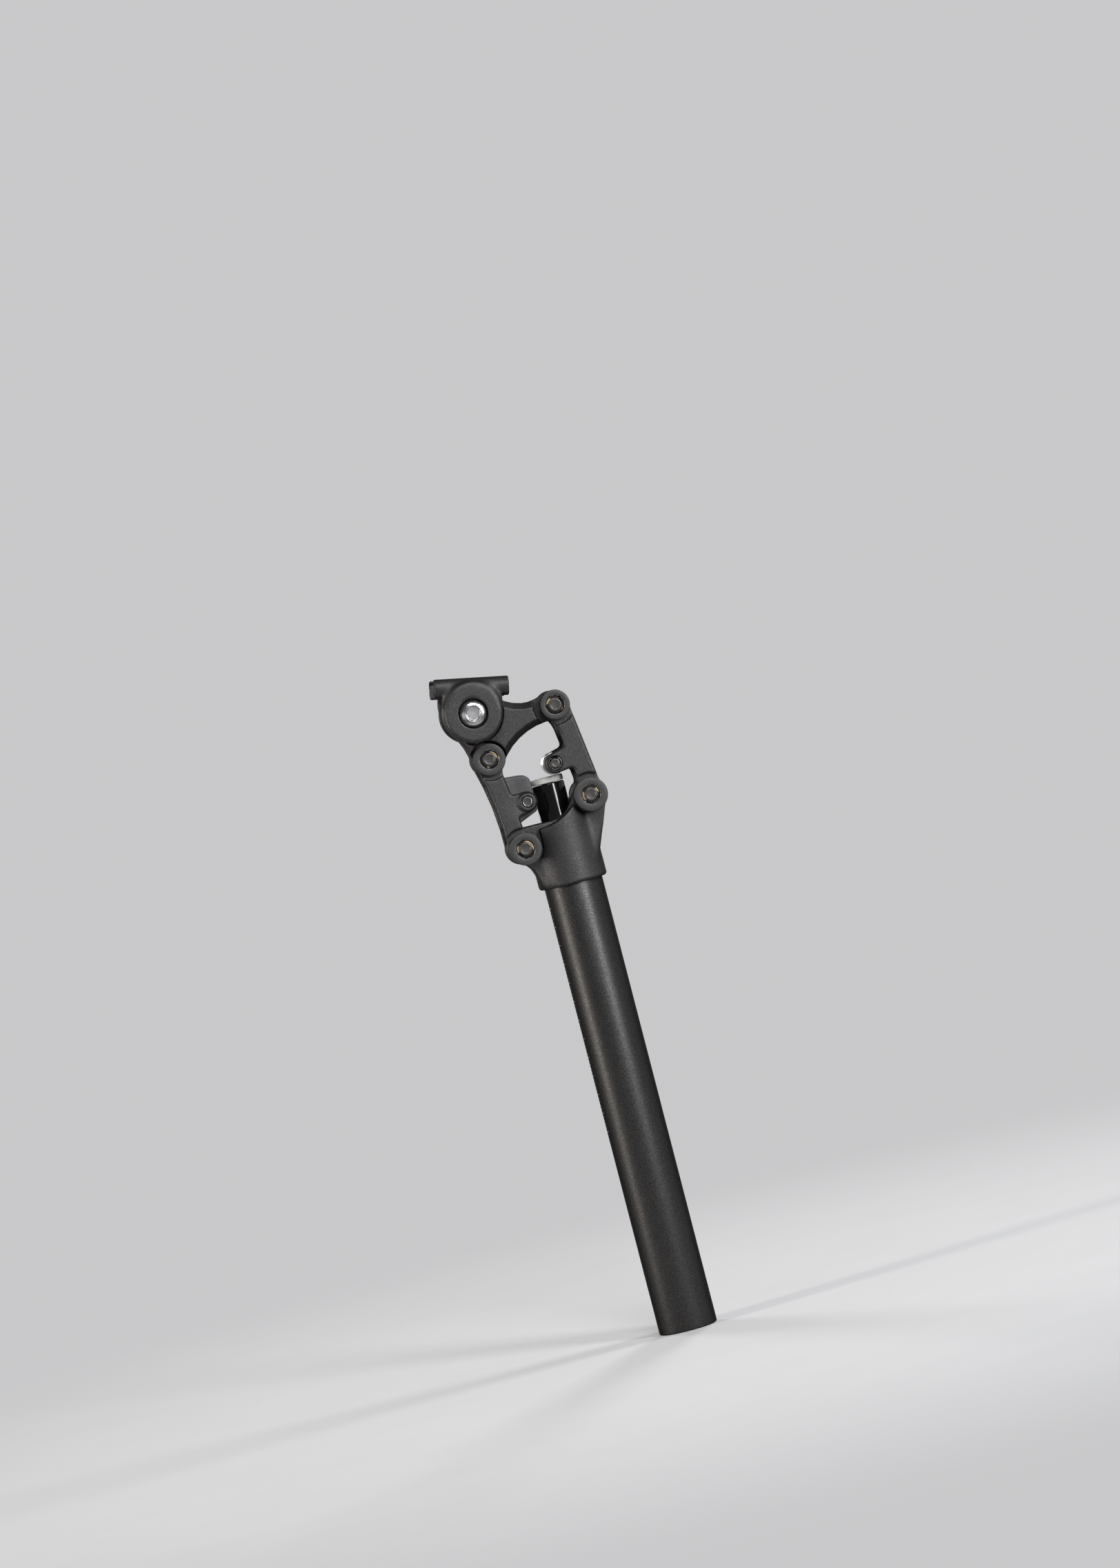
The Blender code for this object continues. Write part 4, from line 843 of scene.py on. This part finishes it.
# Where each ring's gap is turned to, right and left, in radians.
RING_GAP_TURNED = {"lower_front": (0.5, 2.2), "lower_rear": (2.0, 4.1), "upper_front": (5.6, 0.8),
                   "upper_rear": (4.0, 3.0)}
for pivot, (right_roll, left_roll) in RING_GAP_TURNED.items():
    centre = middle(pivot + "_axle")
    ends = [(centre, RIGHT), (centre, LEFT)]
    axle = turn(pivot + "_spindle", axle_profile, [(centre, LEFT)], dark_steel, edge=0.0002)
    settle(axle, "dark_steel", pivot + "_axle")
    low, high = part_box(pivot + "_cap_left")
    rim = round(500 * (high.x - low.x) / math.cos(CAP_FACET), 1)
    caps = turn(pivot + "_caps", [
        (CAP_BORE, CAP_IN), (CAP_BORE, RING_SEAT), (CAP_COUNTERBORE, RING_SEAT), (CAP_COUNTERBORE, CAP_OUT),
        (rim, CAP_OUT), (rim, CAP_IN)], ends, cap_coat, edge=0.00045, segments=128, ring=True)
    settle(caps, "cast_black", *both_sides(pivot, "cap"))
    rolled = [(centre, (RIGHT[0], right_roll, 0.0)), (centre, (LEFT[0], left_roll, 0.0))]
    rings = turn(pivot + "_snap_rings", ring_section, rolled, ring_steel, edge=0.00015, ring=True,
                 sweep=RING_SWEEP)
    settle(rings, "ring_steel", *both_sides(pivot, "ring"))
    bushes = turn(pivot + "_bushes", bush_section, ends, bronze, edge=0.0001, segments=64, ring=True)
    settle(bushes, "bronze", *both_sides(pivot, "bush"))


# Clamp: on each side a cast cradle and a cast clamp close on each other round a channel. One bolt with a turned
# conical head draws them against the head's drum, and a nut holds it on the far side.

bolt_axis = middle("clamp_bolt")
bolt_axis.y = 0.0
CLAMP_GRID, CRADLE_PASSES, CLAMP_PASSES, JAW_PASSES = 0.00035, 3, 8, 120
CRADLE_RADIUS, DISC_RADIUS, CHANNEL_WALL = 13.6, 15.2, 25.8
JAW_FILLETS = ((0.0, 13.0, 21.0, 7.0), (-14.0, 11.7, 7.0, 7.0), (17.1, 5.3, 7.0, 7.0))  # from the bolt's axis
jaw_zones = [(1000 * bolt_axis.x + ahead, 1000 * bolt_axis.z + above, half_x, half_z, JAW_PASSES)
             for ahead, above, half_x, half_z in JAW_FILLETS]
for side in ("left", "right"):
    cradle, clamp = f"inner_cradle_{side}", f"outer_clamp_{side}"
    settle(cast(cradle, coat, CLAMP_GRID, CRADLE_PASSES, rounds=[around("clamp_bolt", CRADLE_RADIUS)]),
           "cast_black", cradle)
    settle(cast(clamp, coat, CLAMP_GRID, CLAMP_PASSES, zones=jaw_zones, rounds=[around("clamp_bolt", DISC_RADIUS)],
                channel=CHANNEL_WALL), "cast_black", clamp)

bright_steel = rolled_steel("bright_steel", (0.40, 0.40, 0.405), (0.80, 0.80, 0.81), roughness=0.24, rings=0.6,
                            depth=0.000016)
BOLT_RADIUS, BOLT_END, BOLT_SEAT, BOLT_TOP = 4.0, 29.9, 26.5, 29.2
BOLT_CONE = ((7.05, 0.0), (7.05, 0.95), (6.85, 1.25), (6.2, 1.82), (5.5, 2.25))  # over the seat
BOLT_MOUTH = ((4.5, -0.1), (4.3, 0.0), (3.95, 0.0), (3.45, -0.7), (0.0, -0.7))  # over the top
BOLT_HEX, BOLT_HEX_DEPTH, BOLT_HEX_ROLL = 6.0, 4.6, 0.27
bolt = turn("bolt", [
    (0, -BOLT_END), (BOLT_RADIUS, -BOLT_END), (BOLT_RADIUS, BOLT_SEAT),
    *((radius, BOLT_SEAT + rise) for radius, rise in BOLT_CONE),
    *((radius, BOLT_TOP + rise) for radius, rise in BOLT_MOUTH)],
    [(bolt_axis, RIGHT)], bright_steel, edge=0.00015, segments=144)
cut(bolt, "DIFFERENCE",
    hexagon(BOLT_HEX, BOLT_TOP - BOLT_HEX_DEPTH, BOLT_TOP + OVERCUT, bolt_axis, RIGHT, BOLT_HEX_ROLL))
settle(bolt, "bright_steel", "clamp_bolt")

NUT_BORE, NUT_RADIUS, NUT_CHAMFER = 4.3, 7.6, 6.2
NUT_SEAT, NUT_SHOULDER, NUT_FACE = 25.1, 28.7, 29.5
NUT_HEX, NUT_BAR, NUT_ROLL = 13.0, (24.0, 31.0), math.radians(11.1)
nut = turn("nut", [
    (NUT_BORE, NUT_SEAT), (NUT_RADIUS, NUT_SEAT), (NUT_RADIUS, NUT_SHOULDER), (NUT_CHAMFER, NUT_FACE),
    (NUT_BORE, NUT_FACE)], [(bolt_axis, LEFT)], bright_steel, edge=0.0001, ring=True)
cut(nut, "INTERSECT", hexagon(NUT_HEX, *NUT_BAR, bolt_axis, LEFT, NUT_ROLL))
settle(nut, "bright_steel", "clamp_nut")


# Studio: a pale floor that fades into a pale backdrop, soft lamps right of the camera, above it and high on the
# right, a narrow warm one on the left and two behind, and the camera at the photograph's viewing angle.

FLOOR_HALF, FADE_START, FADE_END = 1.5, 0.15, 0.8
PALE, DIM = (0.58, 0.58, 0.59), (0.04, 0.04, 0.041)
SEEN, MIRRORED = ("Camera", "Transmission"), ("Glossy",)


def kind_of_ray(tree, kinds):
    """1 for rays of these kinds, 0 for the others, which only gather light."""
    chosen = None
    for kind in kinds:
        ray = Wire.node(tree, "ShaderNodeLightPath", output=f"Is {kind} Ray")
        chosen = chosen.math("MAXIMUM", ray) if chosen else ray
    return chosen


floor_mesh = bpy.data.meshes.new("floor")
floor_mesh.from_pydata([(-FLOOR_HALF, -FLOOR_HALF, 0), (FLOOR_HALF, -FLOOR_HALF, 0), (FLOOR_HALF, FLOOR_HALF, 0),
                        (-FLOOR_HALF, FLOOR_HALF, 0)], [], [(0, 1, 2, 3)])
floor = new_piece("floor", floor_mesh)
floor_pale, floor_tree = finish("floor_pale", {"Roughness": 0.9, "Specular IOR Level": 0.1})
floor_spot = Wire.node(floor_tree, "ShaderNodeTexCoord", output="Object")
away = Wire.node(floor_tree, "ShaderNodeVectorMath", {"operation": "LENGTH"}, {0: floor_spot}, "Value")
floor_colour = tint(grain(floor_tree, 0.05), (0.51, 0.51, 0.52), (0.54, 0.54, 0.55))
feed(floor_pale, tint(kind_of_ray(floor_tree, SEEN + MIRRORED), (0.12, 0.12, 0.12), floor_colour))
clear = Wire.node(floor_tree, "ShaderNodeBsdfTransparent")
faded = Wire.node(floor_tree, "ShaderNodeMixShader", None, {
    0: away.span(FADE_START, FADE_END), 1: Wire(floor_tree.nodes["Principled BSDF"].outputs[0]), 2: clear})
floor_tree.links.new(faded.socket, floor_tree.nodes["Material Output"].inputs["Surface"])
floor_mesh.materials.append(floor_pale)

world = bpy.data.worlds.new("studio")
bpy.context.scene.world = world
world.use_nodes = True
sky = world.node_tree
look = Wire.node(sky, "ShaderNodeTexCoord", output="Generated")
height = Wire.node(sky, "ShaderNodeSeparateXYZ", None, {0: look}, "Z")
reflected = tint(height.math("ABSOLUTE").span(0.08, 0.34), PALE, DIM)
backdrop = Wire.node(sky, "ShaderNodeBackground", None, {"Color": tint(kind_of_ray(sky, SEEN), reflected, PALE)})
ambient = Wire.node(sky, "ShaderNodeBackground", None, {"Color": (0.97, 0.98, 1.0, 1.0), "Strength": 0.08})
mixed = Wire.node(sky, "ShaderNodeMixShader", None,
                  {0: kind_of_ray(sky, SEEN + MIRRORED), 1: ambient, 2: backdrop})
sky.links.new(mixed.socket, sky.nodes["World Output"].inputs["Surface"])

AIM = Vector((-0.005, 0.0, 0.29))
WHITE, COOL, WARM = (1.0, 1.0, 1.0), (0.97, 0.985, 1.0), (1.0, 0.95, 0.88)


def lamp(name, bearing, rise, distance, width, height, level, colour):
    """Soft lamp: bearing in degrees from the camera's side, positive to its right; level is what a white card
    would show."""
    round_about, up = math.radians(bearing), math.radians(rise)
    way = Vector((math.sin(round_about) * math.cos(up), -math.cos(round_about) * math.cos(up), math.sin(up)))
    light = bpy.data.lights.new(name, "AREA")
    light.shape = "RECTANGLE"
    light.size, light.size_y = width, height
    light.energy = level * (math.pi * distance) ** 2
    light.color = colour
    holder = bpy.data.objects.new(name, light)
    bpy.context.scene.collection.objects.link(holder)
    holder.location = AIM + distance * way
    holder.rotation_euler = way.to_track_quat("Z", "Y").to_euler()
    holder.visible_camera = False


# name, bearing, rise, distance, width, height, level, colour
lamp("front", 34, 14, 1.9, 0.34, 0.9, 0.80, COOL)
lamp("high", 6, 33, 1.9, 0.5, 0.5, 0.40, WHITE)
lamp("left", -76, 9, 1.5, 0.22, 1.2, 0.70, WARM)
lamp("right", 88, 34, 1.9, 0.5, 0.5, 0.45, WHITE)
lamp("back_left", -157, 16, 1.9, 0.4, 0.9, 0.50, WHITE)
lamp("back_right", 157, 16, 1.9, 0.4, 0.9, 0.50, WHITE)

TUBE_LEAN, CAMERA_YAW, CAMERA_DISTANCE, CAMERA_HEIGHT = math.radians(14.53), math.radians(4.06), 3.0, 0.2027
OFFSET_RIGHT, OFFSET_UP, FOCAL_PIXELS, FRAME_PIXELS, SENSOR = 0.01628, -0.0875, 8349.0, 2274.0, 36.0
upright_to_tube = Matrix.Rotation(TUBE_LEAN, 4, "Y")
view_right = upright_to_tube @ Vector((math.cos(CAMERA_YAW), -math.sin(CAMERA_YAW), 0))
view_deep = upright_to_tube @ Vector((math.sin(CAMERA_YAW), math.cos(CAMERA_YAW), 0))
view_up = upright_to_tube @ Vector((0, 0, 1))
stand = Vector((0, 0, CAMERA_HEIGHT)) - CAMERA_DISTANCE * view_deep - OFFSET_RIGHT * view_right
stand -= OFFSET_UP * view_up
lens = bpy.data.cameras.new("camera")
lens.sensor_width = SENSOR
lens.lens = SENSOR * FOCAL_PIXELS / FRAME_PIXELS
camera = bpy.data.objects.new("camera", lens)
bpy.context.scene.collection.objects.link(camera)
camera.matrix_world = Matrix.Translation(stand) @ Matrix((view_right, view_up, -view_deep)).transposed().to_4x4()
bpy.context.scene.camera = camera
bpy.context.scene.view_settings.view_transform = "Standard"

bpy.context.view_layer.update()
